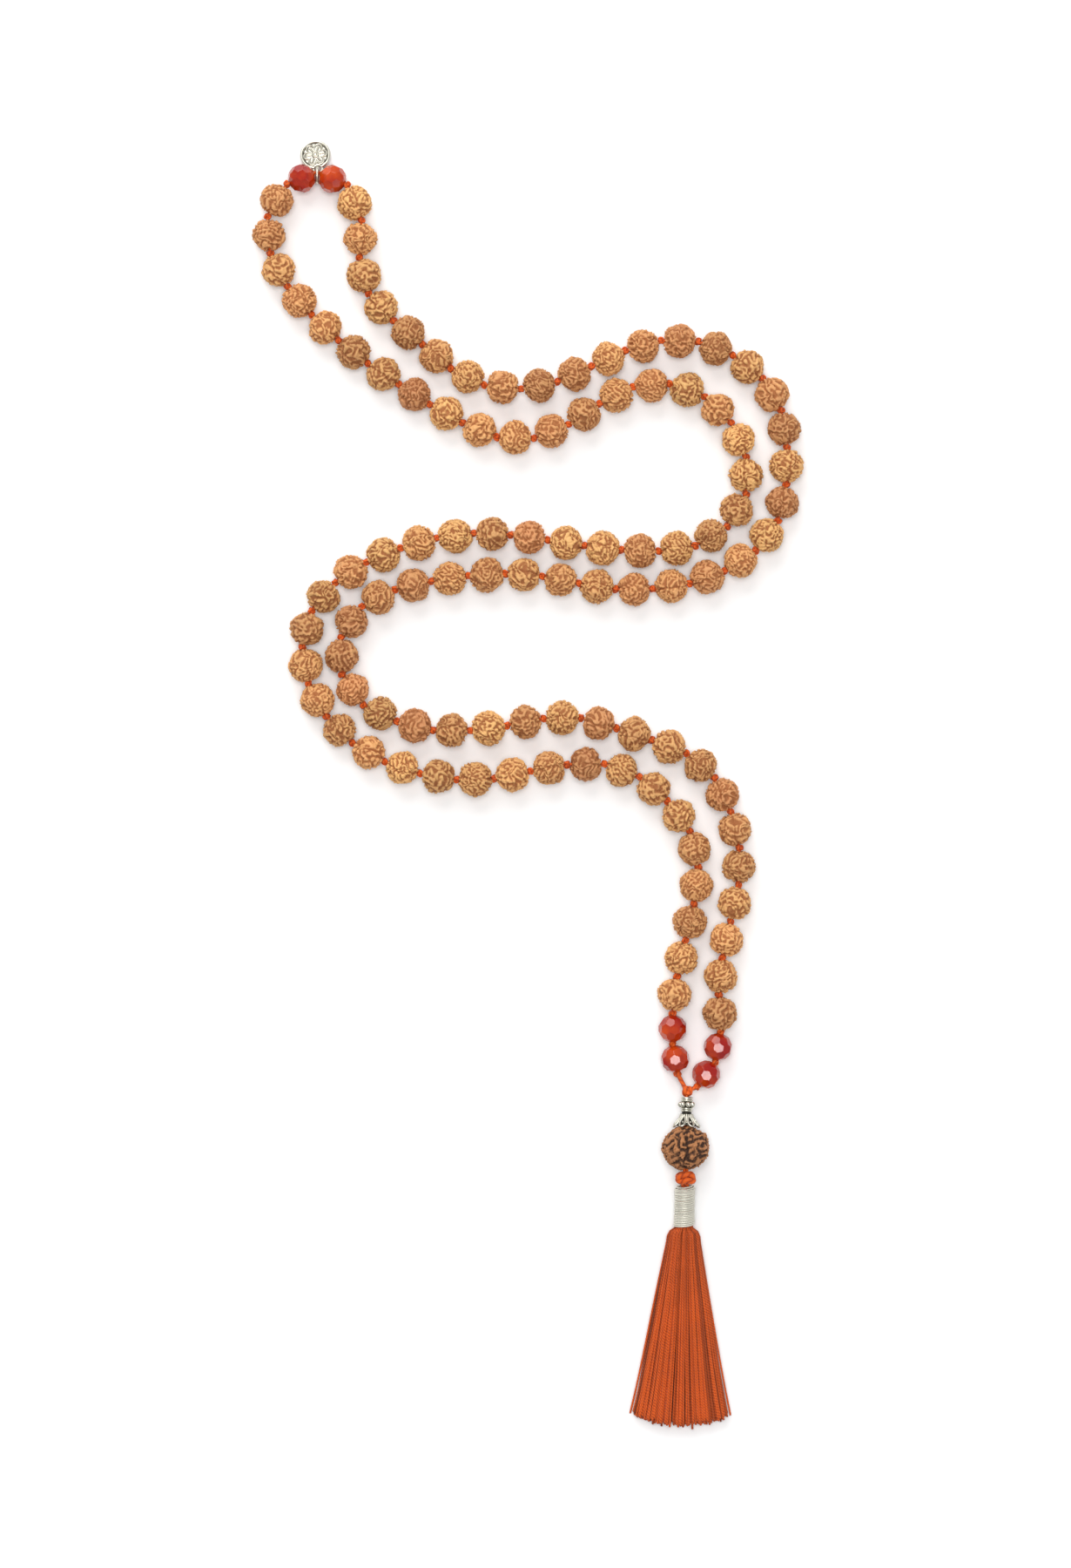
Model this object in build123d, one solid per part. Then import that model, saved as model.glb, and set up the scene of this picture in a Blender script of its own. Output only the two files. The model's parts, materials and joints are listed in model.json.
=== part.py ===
"""A knotted 108-bead mala laid flat in an S: two strands side by side, a guru bead and a tassel.

Frame: millimetres, +Z up, the beads rest on z = 0, +Y points from the tassel to the charm.
The origin is under the middle of the whole object.
"""
from build123d import *

import os
from math import atan2, degrees, radians, sin

# ---- beads -------------------------------------------------------------------------------
rudraksha_d = 7.5
carnelian_d = 6.0
guru_d = 10.3
guru_length = 9.6
rudraksha_per_strand = 51
bead_gap = 0.42  # between the outlines of two rudraksha beads
carnelian_gap = 0.5  # between a carnelian bead and its neighbour
charm_gap = 1.6  # between the two carnelians that the charm hangs between
facet_share = 0.935  # a facet's distance from the middle, as a share of the bead's radius

# ---- thread ------------------------------------------------------------------------------
thread_d = 0.8
knot_d = 2.1
bore_clearance = 0.2  # all round, between a thread and a strand bead
knot_hold = 0.5  # a thread ends inside its knot, this far from the middle
knot_clearance = 0.1  # between a knot and the hollow that it sits in
joint_clearance = 0.12  # between a knot and the thread that turns about it
running_clearance = 0.06  # all round, between a thread and a bead that spins on it
apex_bend = 1.2  # the radius of the thread's bend where the charm hangs

# ---- charm -------------------------------------------------------------------------------
charm_d = 6.5
charm_thickness = 0.8
charm_rim = 0.45
charm_recess = 0.2
lug_d = 2.3
lug_hole_d = 1.4
lug_reach = 3.2  # from the hole to the disc's centre
lug_root = 1.0  # from the hole towards the disc, as wide as the lug
lug_thickness = 0.6
ring_wire_d = 0.65
ring_d = 3.2  # to the middle of the wire

# ---- pendant -----------------------------------------------------------------------------
pendant_cord_d = 1.3
junction_knot_d = 2.3
stop_knot_d = 3.0
stop_knot_width = 4.6
stop_gap = 0.12  # between the guru bead and the stop knot
cap_length = 6.4
cap_skirt_d = 5.8
cap_lip = 0.2
cap_clearance = 0.12  # between the cap and the guru bead
cap_bevel = 0.2
cap_neck_d = 2.2
cap_collar_d = 2.5
cap_collar_length = 0.7
cap_ring_d = 2.7
cap_ring_length = 0.4
cap_ring_at = 2.5  # from the collar's end, like the heights of the granules and the throat
cap_throat_d = 2.4
cap_throat_at = 3.7
cap_flare = [(0.6, 1.6), (0.85, 0.7)]  # shares of the lip's radius, and distances above the lip
cap_granules = 7
granule_at = 1.6
granule_d = 1.15
granule_ring_d = 2.7
cap_petals = 8
petal_notch_d = 0.7
pendant_rise = 5.5  # degrees, the cord rises from the junction to the guru bead
pendant_yaw = -1.2  # degrees, the pendant leans to the left of straight down

# ---- tassel ------------------------------------------------------------------------------
wrap_d = 4.6
wrap_wall = 0.45
wrap_length = 8.4
wrap_clearance = 0.02
tassel_length = 42.5
tassel_shoulder = 1.6  # the length over which the threads spread out of the wrap
tassel_neck_width = 6.4
tassel_neck_thickness = 4.2
tassel_width = 20.4
tassel_thickness = 3.0
loop_d = 1.2
loop_eye_d = 1.8
loop_length = 3.1  # from the stop knot's middle to the eye in the tassel's head
loop_fall = 48.0  # degrees, the loop falls from the stop knot to the tassel
loop_clearance = 0.3  # between the stop knot and the loop that swings on it
wrap_fall = 7.0  # degrees, the wrap falls towards the floor

# ---- the lie of the two strands ------------------------------------------------------------
apex = (-45.2, 129.8)
left_route = [
    apex, (-51.8, 127.2), (-55.7, 120.8), (-55.4, 113), (-51.2, 105), (-43, 96.2),
    (-30, 86), (-15.5, 77.2), (-5, 73), (6.5, 75.2), (17, 81.8), (28, 85),
    (38.5, 81.2), (45.2, 72), (45.8, 60.5), (38.5, 51.8), (23.2, 49.2), (7, 51),
    (-9, 53), (-25, 50.6), (-39.5, 44), (-47.4, 34.4), (-47.5, 22.5), (-38.9, 9.4),
    (-23.8, 2), (-7.6, 0.8), (8, 3.8), (19.5, 3), (29.4, -4), (35.4, -13.5),
    (35.2, -25), (31.8, -39), (30.4, -54.5), (31.2, -61), (32.4, -64.4),
]
right_route = [
    apex, (-38.6, 126.8), (-36.1, 121.8), (-36.2, 110.2), (-33.3, 102.4), (-24.7, 94.9),
    (-13.5, 86), (1.5, 84), (16.4, 90), (31.5, 94.2), (45.8, 89.2), (52.8, 81),
    (54.8, 69.5), (52.2, 54.3), (43.5, 46), (32.4, 42), (17, 41.2), (1.5, 44),
    (-14, 43.8), (-25, 42), (-33.2, 39.2), (-38.6, 34.2), (-40.6, 27.2), (-38.6, 20.2),
    (-33.2, 15), (-25, 12), (-16.5, 10.8), (-1.3, 12.8), (10.5, 13.8), (22, 10.2),
    (36.6, 4), (42.8, -6.3), (44.8, -17.6), (41.8, -33.5), (40.3, -44.8), (40.6, -55),
    (38.6, -61.3), (35.5, -65),
]
drawn_strand_length = 423.95  # the strand that both routes are drawn for
search_span = 0.1  # of a whole route, more than any bead's step
search_rounds = 40
fold_knots = [
    (4, 3), (8, 6), (12, 9), (15, 12), (19, 18), (24, 25),
    (27, 28), (31, 31), (38, 36), (42, 39), (45, 43), (49, 49),
]  # the left and the right knot that each fold line of the doubled strand runs through

apex_height = 3.3  # the thread above the rest surface, between the top carnelians
end_heights = [3.6, 3.4]  # the thread below each of the two last carnelians
junction = (33.5, -65.7)
charm_direction = 88.5  # degrees from +X, from the thread to the charm
charm_offset = -0.5  # the ring's centre from the thread, towards the charm
ring_drop = 0.5  # the ring's centre below the thread
lug_angle = 30.0  # degrees below the ring's centre, where the ring passes the lug
charm_fall = 13.0  # degrees, the disc falls away from its lug
charm_yaw = 11.0  # degrees, the disc lies turned to the left of the ring


# ---- the chain of knots ----------------------------------------------------------------------
def bead_sizes():
    """The diameters of one strand's beads, from the apex down to the pendant."""
    return [carnelian_d] + [rudraksha_d] * rudraksha_per_strand + [carnelian_d] * 2


def bead_steps():
    """The distance from knot to knot over each bead: its diameter and half the gap each side."""
    sizes = bead_sizes()
    steps = []
    for i, size in enumerate(sizes):
        above = charm_gap if i == 0 else gap_between(size, sizes[i - 1])
        below = carnelian_gap if i == len(sizes) - 1 else gap_between(size, sizes[i + 1])
        steps.append(size + (above + below) / 2)
    return steps


def gap_between(size, next_size):
    return bead_gap if size == next_size == rudraksha_d else carnelian_gap


layout = sum(bead_steps()) / drawn_strand_length


def placed(point, height=0.0):
    """A point of the drawn lie, moved to where this strand's length puts it."""
    return Vector(point[0] * layout, point[1] * layout, height)


def knot_heights():
    straight = [rudraksha_d / 2] * (rudraksha_per_strand + 1)
    return [apex_height] + straight + end_heights


def next_on(curve, start, here, step):
    """The curve parameter past start where the straight distance from here is step."""
    low, high = start, min(start + search_span, 1.0)
    for _ in range(search_rounds):
        middle = (low + high) / 2
        if (curve.position_at(middle) - here).length < step:
            low = middle
        else:
            high = middle
    return high


def strand_knots(route):
    """The knots of one strand, from the apex to the junction, a bead's step apart."""
    curve = Spline(*[placed(p) for p in route])
    at = 0.0
    here = curve.position_at(at)
    knots = [here]
    for step in bead_steps():
        at = next_on(curve, at, here, step)
        here = curve.position_at(at)
        knots.append(here)
    return [Vector(k.X, k.Y, z) for k, z in zip(knots, knot_heights())]


def between(start, end):
    """A frame at the middle of two points, its Z axis from the first to the second."""
    return Plane(origin=(start + end) / 2, z_dir=end - start).location


# ---- beads -----------------------------------------------------------------------------------
def knot_hollows(bead, reach_up, reach_down):
    """A strand bead with its thread hole, and a hollow at each pole for its knot."""
    hollow = Sphere(knot_d / 2 + knot_clearance)
    hole = Cylinder(thread_d / 2 + bore_clearance, 2 * (reach_up + reach_down))
    return bead - hole - Pos(0, 0, -reach_up) * hollow - Pos(0, 0, reach_down) * hollow


def rudraksha_bead(step):
    return knot_hollows(Sphere(rudraksha_d / 2), step / 2, step / 2)


def facet_rows():
    """Each facet's direction, as degrees above the equator and degrees round the hole."""
    rows = [(0, 9, 0.0), (33, 9, 0.5), (-33, 9, 0.5), (64, 6, 0.0), (-64, 6, 0.0)]
    for rise, count, turn in rows:
        for k in range(count):
            yield rise, (k + turn) * 360 / count


def carnelian_bead():
    """A ball cut with flat facets, drilled through, with a hollow at each end for a knot."""
    facet_distance = facet_share * carnelian_d / 2
    block = Pos(0, 0, facet_distance + carnelian_d / 2) * Box(carnelian_d, carnelian_d, carnelian_d)
    bead = Sphere(carnelian_d / 2)
    for rise, around in facet_rows():
        bead -= Rot(0, 0, around) * Rot(0, 90 - rise, 0) * block
    reach = (carnelian_d + carnelian_gap) / 2
    return knot_hollows(bead, reach, reach)


def guru_bead():
    bead = Sphere(guru_d / 2) & Cylinder(guru_d, guru_length)
    return bead - Cylinder(pendant_cord_d / 2 + running_clearance, 2 * guru_length)


# ---- thread ----------------------------------------------------------------------------------
def thread_run(start, end, trim_start=knot_hold, trim_end=knot_hold):
    """A straight stretch of thread between two points, stopping short of each by its trim."""
    way = (end - start).normalized()
    start, end = start + way * trim_start, end - way * trim_end
    return between(start, end) * Cylinder(thread_d / 2, (end - start).length)


def knot(at, ahead):
    """A ball on the thread, its seam turned away from the thread's direction."""
    return Pos(at) * Rot(0, 0, heading(ahead) + 90) * Sphere(knot_d / 2)


def heading(way):
    """The direction of a level vector, in degrees from +X."""
    return degrees(atan2(way.Y, way.X))


def threaded(knots, first, last, starts_clear):
    """The thread from one knot to another, with its knots, all one piece.

    The first knot belongs to the section above wherever the thread starts clear of it.
    """
    trim = knot_d / 2 + joint_clearance if starts_clear else knot_hold
    piece = thread_run(knots[first], knots[first + 1], trim)
    for i in range(first + 1, last + 1):
        piece += knot(knots[i], knots[i] - knots[i - 1])
        if i < last:
            piece += thread_run(knots[i], knots[i + 1])
    return piece


def apex_thread(left_knot, top, right_knot):
    """The thread between the first knots of both strands, bent round under the charm's ring."""
    left_way, right_way = (left_knot - top).normalized(), (right_knot - top).normalized()
    ends = [left_knot - left_way * knot_hold, top, right_knot - right_way * knot_hold]
    path = FilletPolyline(*ends, radius=apex_bend)
    return sweep(Plane(origin=path @ 0, z_dir=path % 0) * Circle(thread_d / 2), path)


# ---- charm -----------------------------------------------------------------------------------
def charm_frame():
    """The ring's centre, its X axis along the ring's plane towards the charm, Z up."""
    along = Rot(0, 0, charm_direction)
    centre = placed(apex, apex_height - ring_drop)
    return Pos(centre) * along * Pos(charm_offset, 0, 0)


def charm_ring():
    return charm_frame() * Rot(90, 0, 0) * Torus(ring_d / 2, ring_wire_d / 2)


def lug_frame():
    """The middle of the lug's hole, its X axis out along the disc."""
    drop = Rot(0, lug_angle, 0) * Pos(ring_d / 2, 0, 0)
    hole = charm_frame() * Pos((drop.position.X, 0, drop.position.Z))
    return hole * Rot(0, 0, charm_yaw) * Rot(0, charm_fall, 0)


def charm_disc():
    """A round disc with a raised rim, and a lug that the ring passes through."""
    reach = lug_reach
    disc = Pos(reach, 0, 0) * Cylinder(charm_d / 2, charm_thickness)
    field = Cylinder(charm_d / 2 - charm_rim, charm_recess)
    disc -= Pos(reach, 0, (charm_thickness - charm_recess) / 2) * field
    lug = Cylinder(lug_d / 2, lug_thickness)
    lug += Pos(lug_root / 2, 0, 0) * Box(lug_root, lug_d, lug_thickness)
    charm = disc + (lug - Pos(reach, 0, 0) * Cylinder(charm_d / 2, 2 * lug_thickness))
    charm -= Cylinder(lug_hole_d / 2, 2 * charm_thickness)
    return lug_frame() * charm


# ---- pendant ---------------------------------------------------------------------------------
cap_start = junction_knot_d / 2 + joint_clearance
skirt_seat = ((guru_d / 2 + cap_clearance) ** 2 - (cap_skirt_d / 2) ** 2) ** 0.5
guru_reach = cap_start + cap_length + skirt_seat  # from the junction to the guru's middle
stop_reach = guru_reach + guru_length / 2 + stop_gap + stop_knot_d / 2
junction_height = guru_d / 2 - guru_reach * sin(radians(pendant_rise))
junction_point = placed(junction, junction_height)


def hanging(origin, rise):
    """A frame with its Z axis along the pendant, rising by some degrees, and its X level."""
    return Pos(origin) * Rot(0, 0, pendant_yaw) * Rot(90 - rise, 0, 0)


pendant_frame = hanging(junction_point, pendant_rise)
stop_point = (pendant_frame * Pos(0, 0, stop_reach)).position
loop_frame = hanging(stop_point, -loop_fall)
eye_point = (loop_frame * Pos(0, 0, loop_length)).position
wrap_frame = hanging(eye_point, -wrap_fall)
wrap_end = (wrap_frame * Pos(0, 0, wrap_length)).position


def along(start, end, diameter):
    """A round bar on the Z axis of its frame."""
    return Pos(0, 0, (start + end) / 2) * Cylinder(diameter / 2, end - start)


def pendant_cord():
    """The doubled cord through cap and guru bead, ending in its oval stop knot."""
    straight = stop_knot_width - stop_knot_d
    stop = Rot(0, 90, 0) * Cylinder(stop_knot_d / 2, straight)
    for side in (-1, 1):
        stop += Pos(side * straight / 2, 0, 0) * Sphere(stop_knot_d / 2)
    cord = along(cap_start, stop_reach, pendant_cord_d) + Pos(0, 0, stop_reach) * stop
    return pendant_frame * cord


def cap_profile():
    """The cap's half outline, from its collar down to the lip of its skirt."""
    collar, neck, ring = cap_collar_d / 2, cap_neck_d / 2, cap_ring_d / 2
    lip = cap_skirt_d / 2 + cap_lip
    ring_end = cap_ring_at + cap_ring_length
    flare = [(share * lip, cap_length - above) for share, above in cap_flare]
    outline = Polyline(
        (0, 0), (collar, 0), (collar, cap_collar_length), (neck, cap_collar_length + cap_bevel),
        (neck, cap_ring_at - cap_bevel), (ring, cap_ring_at), (ring, ring_end),
        (neck, ring_end + cap_bevel), (cap_throat_d / 2, cap_throat_at), *flare,
        (lip, cap_length), (0, cap_length), (0, 0),
    )
    return make_face(Plane.XZ * outline)


def guru_cap():
    """The silver cap: collar, ring of granules, neck and flared skirt with notched petals."""
    cap = revolve(cap_profile(), Axis.Z)
    for k in range(cap_granules):
        around = Rot(0, 0, k * 360 / cap_granules)
        cap += around * Pos(granule_ring_d / 2, 0, granule_at) * Sphere(granule_d / 2)
    for k in range(cap_petals):
        around = Rot(0, 0, (k + 0.5) * 360 / cap_petals)
        notch = Rot(0, 90, 0) * Cylinder(petal_notch_d / 2, 2)
        cap -= around * Pos(cap_skirt_d / 2 + cap_lip, 0, cap_length) * notch
    cap -= Pos(0, 0, cap_length + skirt_seat) * Sphere(guru_d / 2 + cap_clearance)
    cap -= Cylinder(pendant_cord_d / 2 + running_clearance, 3 * cap_length)
    return pendant_frame * Pos(0, 0, cap_start) * cap


def placed_guru():
    return pendant_frame * Pos(0, 0, guru_reach) * guru_bead()


# ---- tassel ----------------------------------------------------------------------------------
def tassel_loop():
    """The thread that hangs the tassel from the stop knot, with its eye in the tassel's head."""
    start = stop_knot_d / 2 + loop_clearance
    loop = along(start, loop_length, loop_d) + Pos(0, 0, loop_length) * Sphere(loop_eye_d / 2)
    return loop_frame * loop


def tassel_wrap():
    inner = wrap_d - 2 * wrap_wall
    return wrap_frame * (along(0, wrap_length, wrap_d) - along(-1, wrap_length + 1, inner))


def skirt_section(reach):
    """The spread threads across, some way below the wrap, resting just above the floor."""
    share = (reach - tassel_shoulder) / (tassel_length - tassel_shoulder)
    width = tassel_neck_width + share * (tassel_width - tassel_neck_width)
    thickness = tassel_neck_thickness + share * (tassel_thickness - tassel_neck_thickness)
    foot = hanging(Vector(wrap_end.X, wrap_end.Y, thickness / 2), 0) * Pos(0, 0, reach)
    return foot * Ellipse(width / 2, thickness / 2)


def tassel_threads():
    """The bundle of threads: a round head held by the wrap, and the spread skirt below it."""
    head_d = wrap_d - 2 * wrap_wall - 2 * wrap_clearance
    head_start = loop_eye_d / 2 + joint_clearance
    head = wrap_frame * along(head_start, wrap_length, head_d)
    neck = wrap_frame * Pos(0, 0, wrap_length) * Circle(head_d / 2)
    shoulder = skirt_section(tassel_shoulder)
    shoulders = loft([neck, shoulder], ruled=True)
    skirt = loft([shoulder, skirt_section(tassel_length)], ruled=True)
    return head + shoulders + skirt


# ---- the pieces ------------------------------------------------------------------------------
def section_bounds():
    """The first and last knot of each section, for the left and the right strand."""
    last = len(bead_sizes())
    cuts = [(0, 0)] + fold_knots + [(last, last)]
    return list(zip(cuts, cuts[1:]))


def section_thread(number, left, right):
    (left_first, right_first), (left_last, right_last) = section_bounds()[number]
    if number == 0:
        top = apex_thread(left[1], left[0], right[1])
        top += knot(left[1], left[1] - left[0]) + knot(right[1], right[1] - right[0])
        for knots, last in ((left, left_last), (right, right_last)):
            top += thread_run(knots[1], knots[2])
            top += threaded(knots, 2, last, False) + knot(knots[2], knots[2] - knots[1])
        return [top]
    pieces = [
        threaded(left, left_first, left_last, True),
        threaded(right, right_first, right_last, True),
    ]
    if number == len(fold_knots):
        trim = junction_knot_d / 2 + joint_clearance
        ends = [thread_run(junction_point, knots[-1], trim) for knots in (left, right)]
        return [piece + end for piece, end in zip(pieces, ends)]
    return pieces


def section_beads(knots, first, last):
    """The rudraksha beads between two knots of one strand."""
    sizes = bead_sizes()
    beads = []
    for i in range(first, last):
        if sizes[i] == rudraksha_d:
            beads.append(between(knots[i], knots[i + 1]) * STRAND_BEAD)
    return beads


def placed_carnelian(knots, index):
    return between(knots[index], knots[index + 1]) * CARNELIAN


def save(name, *pieces):
    solids = [solid for piece in pieces for solid in piece.solids()]
    shape = solids[0] if len(solids) == 1 else Compound(children=solids)
    export_step(shape, f"parts/{name}.step")


STRAND_BEAD = rudraksha_bead(rudraksha_d + bead_gap)
CARNELIAN = carnelian_bead()
left_knots = strand_knots(left_route)
right_knots = strand_knots(right_route)


def build():
    os.makedirs("parts", exist_ok=True)
    for number, (start, end) in enumerate(section_bounds()):
        label = f"{number + 1:02d}"
        save(f"thread_{label}", *section_thread(number, left_knots, right_knots))
        save(f"left_beads_{label}", *section_beads(left_knots, start[0], end[0]))
        save(f"right_beads_{label}", *section_beads(right_knots, start[1], end[1]))
    for side, knots in (("left", left_knots), ("right", right_knots)):
        last = len(knots) - 2
        save(f"top_{side}_carnelian", placed_carnelian(knots, 0))
        save(f"upper_{side}_carnelian", placed_carnelian(knots, last - 1))
        save(f"lower_{side}_carnelian", placed_carnelian(knots, last))
    save("charm_ring", charm_ring())
    save("charm_disc", charm_disc())
    save("junction_knot", Pos(junction_point) * Sphere(junction_knot_d / 2))
    save("pendant_cord", pendant_cord())
    save("guru_cap", guru_cap())
    save("guru_bead", placed_guru())
    save("tassel_loop", tassel_loop())
    save("tassel_wrap", tassel_wrap())
    save("tassel_threads", tassel_threads())


build()
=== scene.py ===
"""Knotted mala: ridged seeds, faceted stones, knotted thread, charm, capped guru bead and tassel."""

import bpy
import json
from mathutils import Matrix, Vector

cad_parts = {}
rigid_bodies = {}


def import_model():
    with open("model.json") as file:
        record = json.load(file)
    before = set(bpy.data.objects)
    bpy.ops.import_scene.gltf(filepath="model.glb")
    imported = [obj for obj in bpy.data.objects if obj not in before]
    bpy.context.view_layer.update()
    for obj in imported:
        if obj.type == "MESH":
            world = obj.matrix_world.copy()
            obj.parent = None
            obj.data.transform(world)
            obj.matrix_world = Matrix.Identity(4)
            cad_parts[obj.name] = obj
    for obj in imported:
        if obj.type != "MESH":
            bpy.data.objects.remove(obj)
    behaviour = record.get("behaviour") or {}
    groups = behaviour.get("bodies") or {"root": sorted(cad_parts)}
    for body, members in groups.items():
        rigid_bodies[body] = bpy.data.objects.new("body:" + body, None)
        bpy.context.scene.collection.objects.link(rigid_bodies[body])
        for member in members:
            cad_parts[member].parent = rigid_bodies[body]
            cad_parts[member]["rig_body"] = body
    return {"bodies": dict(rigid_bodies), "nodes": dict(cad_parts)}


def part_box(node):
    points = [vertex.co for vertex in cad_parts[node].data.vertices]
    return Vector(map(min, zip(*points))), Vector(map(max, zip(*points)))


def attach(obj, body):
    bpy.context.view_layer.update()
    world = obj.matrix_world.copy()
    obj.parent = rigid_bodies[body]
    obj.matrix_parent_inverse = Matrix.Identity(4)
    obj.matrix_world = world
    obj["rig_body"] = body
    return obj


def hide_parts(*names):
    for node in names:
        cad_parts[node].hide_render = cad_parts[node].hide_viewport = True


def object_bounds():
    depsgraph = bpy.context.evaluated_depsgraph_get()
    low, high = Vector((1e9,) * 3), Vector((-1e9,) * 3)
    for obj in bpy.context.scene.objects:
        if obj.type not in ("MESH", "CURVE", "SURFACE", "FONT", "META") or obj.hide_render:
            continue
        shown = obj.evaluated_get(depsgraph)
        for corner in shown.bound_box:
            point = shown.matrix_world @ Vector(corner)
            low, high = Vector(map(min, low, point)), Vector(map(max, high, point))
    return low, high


bl_info = {
    "name": "Knotted Mala",
    "version": (1, 0, 0),
    "blender": (4, 5, 0),
    "location": "3D View > Sidebar > Mala",
    "description": "Dresses the jointed frame of a knotted mala with its seeds, stones, thread and tassel",
    "category": "Object",
}

import json
import math

import bmesh
import bpy
import numpy as np
from bpy.props import FloatProperty, FloatVectorProperty, IntProperty, PointerProperty
from mathutils import Matrix, Vector

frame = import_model()
cad_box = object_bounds()

MM = 0.001
SIDES = ("left", "right")
SECTIONS = sorted(name[-2:] for name in frame["bodies"] if name.startswith("section_"))
UP = np.array([0.0, 0.0, 1.0])
PLIES = 3
# A twist is the plies' turn, in radians for each metre of thread, times the number of plies.
THREAD_TWIST = 4200.0
KNOT_TWIST = 5200.0
LOOP_TWIST = 3400.0
KNOT_LENGTH = 1.36 * MM  # along the strand
KNOT_STRAND = 0.66 * MM  # across the thread of a knot
SENSOR = 36.0  # the camera's, in millimetres


# ---- sizes and colours -----------------------------------------------------------------------
class SeedSettings(bpy.types.PropertyGroup):
    diameter: FloatProperty(
        name="Seed Diameter", description="Across the ridges of a strand seed",
        default=0.00755, unit="LENGTH")
    pitch: FloatProperty(
        name="Seed Pitch", description="From knot to knot over one seed",
        default=0.00792, unit="LENGTH")
    ridge_width: FloatProperty(
        name="Ridge Width", description="From one ridge to the next",
        default=0.00102, unit="LENGTH")
    ridge_height: FloatProperty(
        name="Ridge Height", description="From the bottom of a groove to the top of a ridge",
        default=0.00040, unit="LENGTH")
    ridge_colour: FloatVectorProperty(
        name="Ridge Colour", description="The worn tops of the ridges",
        default=(0.88, 0.50, 0.185), subtype="COLOR", min=0, max=1)
    # The grooves' colour is painted shade.
    groove_shade_colour: FloatVectorProperty(
        name="Groove Colour", description="The bottoms of the grooves",
        default=(0.36, 0.125, 0.040), subtype="COLOR", min=0, max=1)
    ruddy_colour: FloatVectorProperty(
        name="Ruddy Colour", description="The ridges of the redder seeds",
        default=(0.68, 0.30, 0.125), subtype="COLOR", min=0, max=1)
    seed: IntProperty(
        name="Random Seed", description="Chooses the pattern of every seed", default=11, min=0)


class GuruSettings(bpy.types.PropertyGroup):
    diameter: FloatProperty(
        name="Guru Diameter", description="Across the ridges of the guru bead",
        default=0.0103, unit="LENGTH")
    length: FloatProperty(
        name="Guru Length", description="Along the hole of the guru bead",
        default=0.0096, unit="LENGTH")
    ridge_colour: FloatVectorProperty(
        name="Guru Ridge Colour", description="The tops of its ridges",
        default=(0.42, 0.175, 0.065), subtype="COLOR", min=0, max=1)
    # The guru's near-black groove colour is painted shade.
    groove_shade_colour: FloatVectorProperty(
        name="Guru Groove Colour", description="The bottoms of its grooves",
        default=(0.042, 0.018, 0.010), subtype="COLOR", min=0, max=1)


class StoneSettings(bpy.types.PropertyGroup):
    diameter: FloatProperty(
        name="Stone Diameter", description="Across the corners of a faceted stone",
        default=0.0061, unit="LENGTH")
    pitch: FloatProperty(
        name="Stone Pitch", description="From knot to knot over one stone",
        default=0.0065, unit="LENGTH")
    columns: IntProperty(
        name="Facets Round", description="Facets round the girdle of a stone", default=9, min=5)
    deep_colour: FloatVectorProperty(
        name="Deep Colour", description="The dark red of the stone",
        default=(0.40, 0.007, 0.004), subtype="COLOR", min=0, max=1)
    light_colour: FloatVectorProperty(
        name="Light Colour", description="The orange bands of the stone",
        default=(0.74, 0.085, 0.005), subtype="COLOR", min=0, max=1)


class ThreadSettings(bpy.types.PropertyGroup):
    thickness: FloatProperty(
        name="Thread Thickness", description="Across the stringing thread",
        default=0.00076, unit="LENGTH")
    knot_width: FloatProperty(
        name="Knot Width", description="Across a knot between two beads",
        default=0.00185, unit="LENGTH")
    colour: FloatVectorProperty(
        name="Thread Colour", description="The dyed thread",
        default=(0.74, 0.115, 0.009), subtype="COLOR", min=0, max=1)
    shade_colour: FloatVectorProperty(
        name="Thread Shade", description="The thread between its plies",
        default=(0.30, 0.026, 0.003), subtype="COLOR", min=0, max=1)


class SilverSettings(bpy.types.PropertyGroup):
    colour: FloatVectorProperty(
        name="Silver Colour", description="The rubbed silver",
        default=(0.62, 0.60, 0.515), subtype="COLOR", min=0, max=1)
    patina_colour: FloatVectorProperty(
        name="Patina Colour", description="The blackened hollows",
        default=(0.05, 0.045, 0.036), subtype="COLOR", min=0, max=1)
    petals: IntProperty(
        name="Cap Petals", description="Looped petals round the cap's skirt", default=8, min=3)
    granules: IntProperty(
        name="Cap Granules", description="Balls round the cap's neck", default=7, min=3)
    rosette_petals: IntProperty(
        name="Rosette Petals", description="Petals of the charm's rosette", default=6, min=3)


class TasselSettings(bpy.types.PropertyGroup):
    threads: IntProperty(
        name="Tassel Threads", description="Threads in the skirt of the tassel", default=300, min=20)
    thickness: FloatProperty(
        name="Tassel Thread Thickness", description="Across one thread at its free end",
        default=0.00048, unit="LENGTH")
    ragged: FloatProperty(
        name="Ragged Ends", description="How far the cut ends differ",
        default=0.0004, unit="LENGTH")
    winding: FloatProperty(
        name="Winding Thickness", description="Across the thread wound round the head",
        default=0.00036, unit="LENGTH")
    winding_colour: FloatVectorProperty(
        name="Winding Colour", description="The silvery thread wound round the head",
        default=(0.88, 0.85, 0.73), subtype="COLOR", min=0, max=1)


class StageSettings(bpy.types.PropertyGroup):
    view_height: FloatProperty(
        name="View Height", description="The camera above the floor", default=1.15, unit="LENGTH")
    view_length: FloatProperty(
        name="View Length", description="The length of floor that the picture shows",
        default=0.3348, unit="LENGTH")
    floor_colour: FloatVectorProperty(
        name="Floor Colour", description="The pale floor",
        default=(0.96, 0.96, 0.96), subtype="COLOR", min=0, max=1)
    light: FloatProperty(
        name="Light", description="The strength of the large soft light", default=10.0, min=0)


# ---- reading the frame -----------------------------------------------------------------------
def node_points(name):
    mesh = frame["nodes"][name].data
    points = np.empty(len(mesh.vertices) * 3)
    mesh.vertices.foreach_get("co", points)
    return points.reshape(-1, 3)


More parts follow.
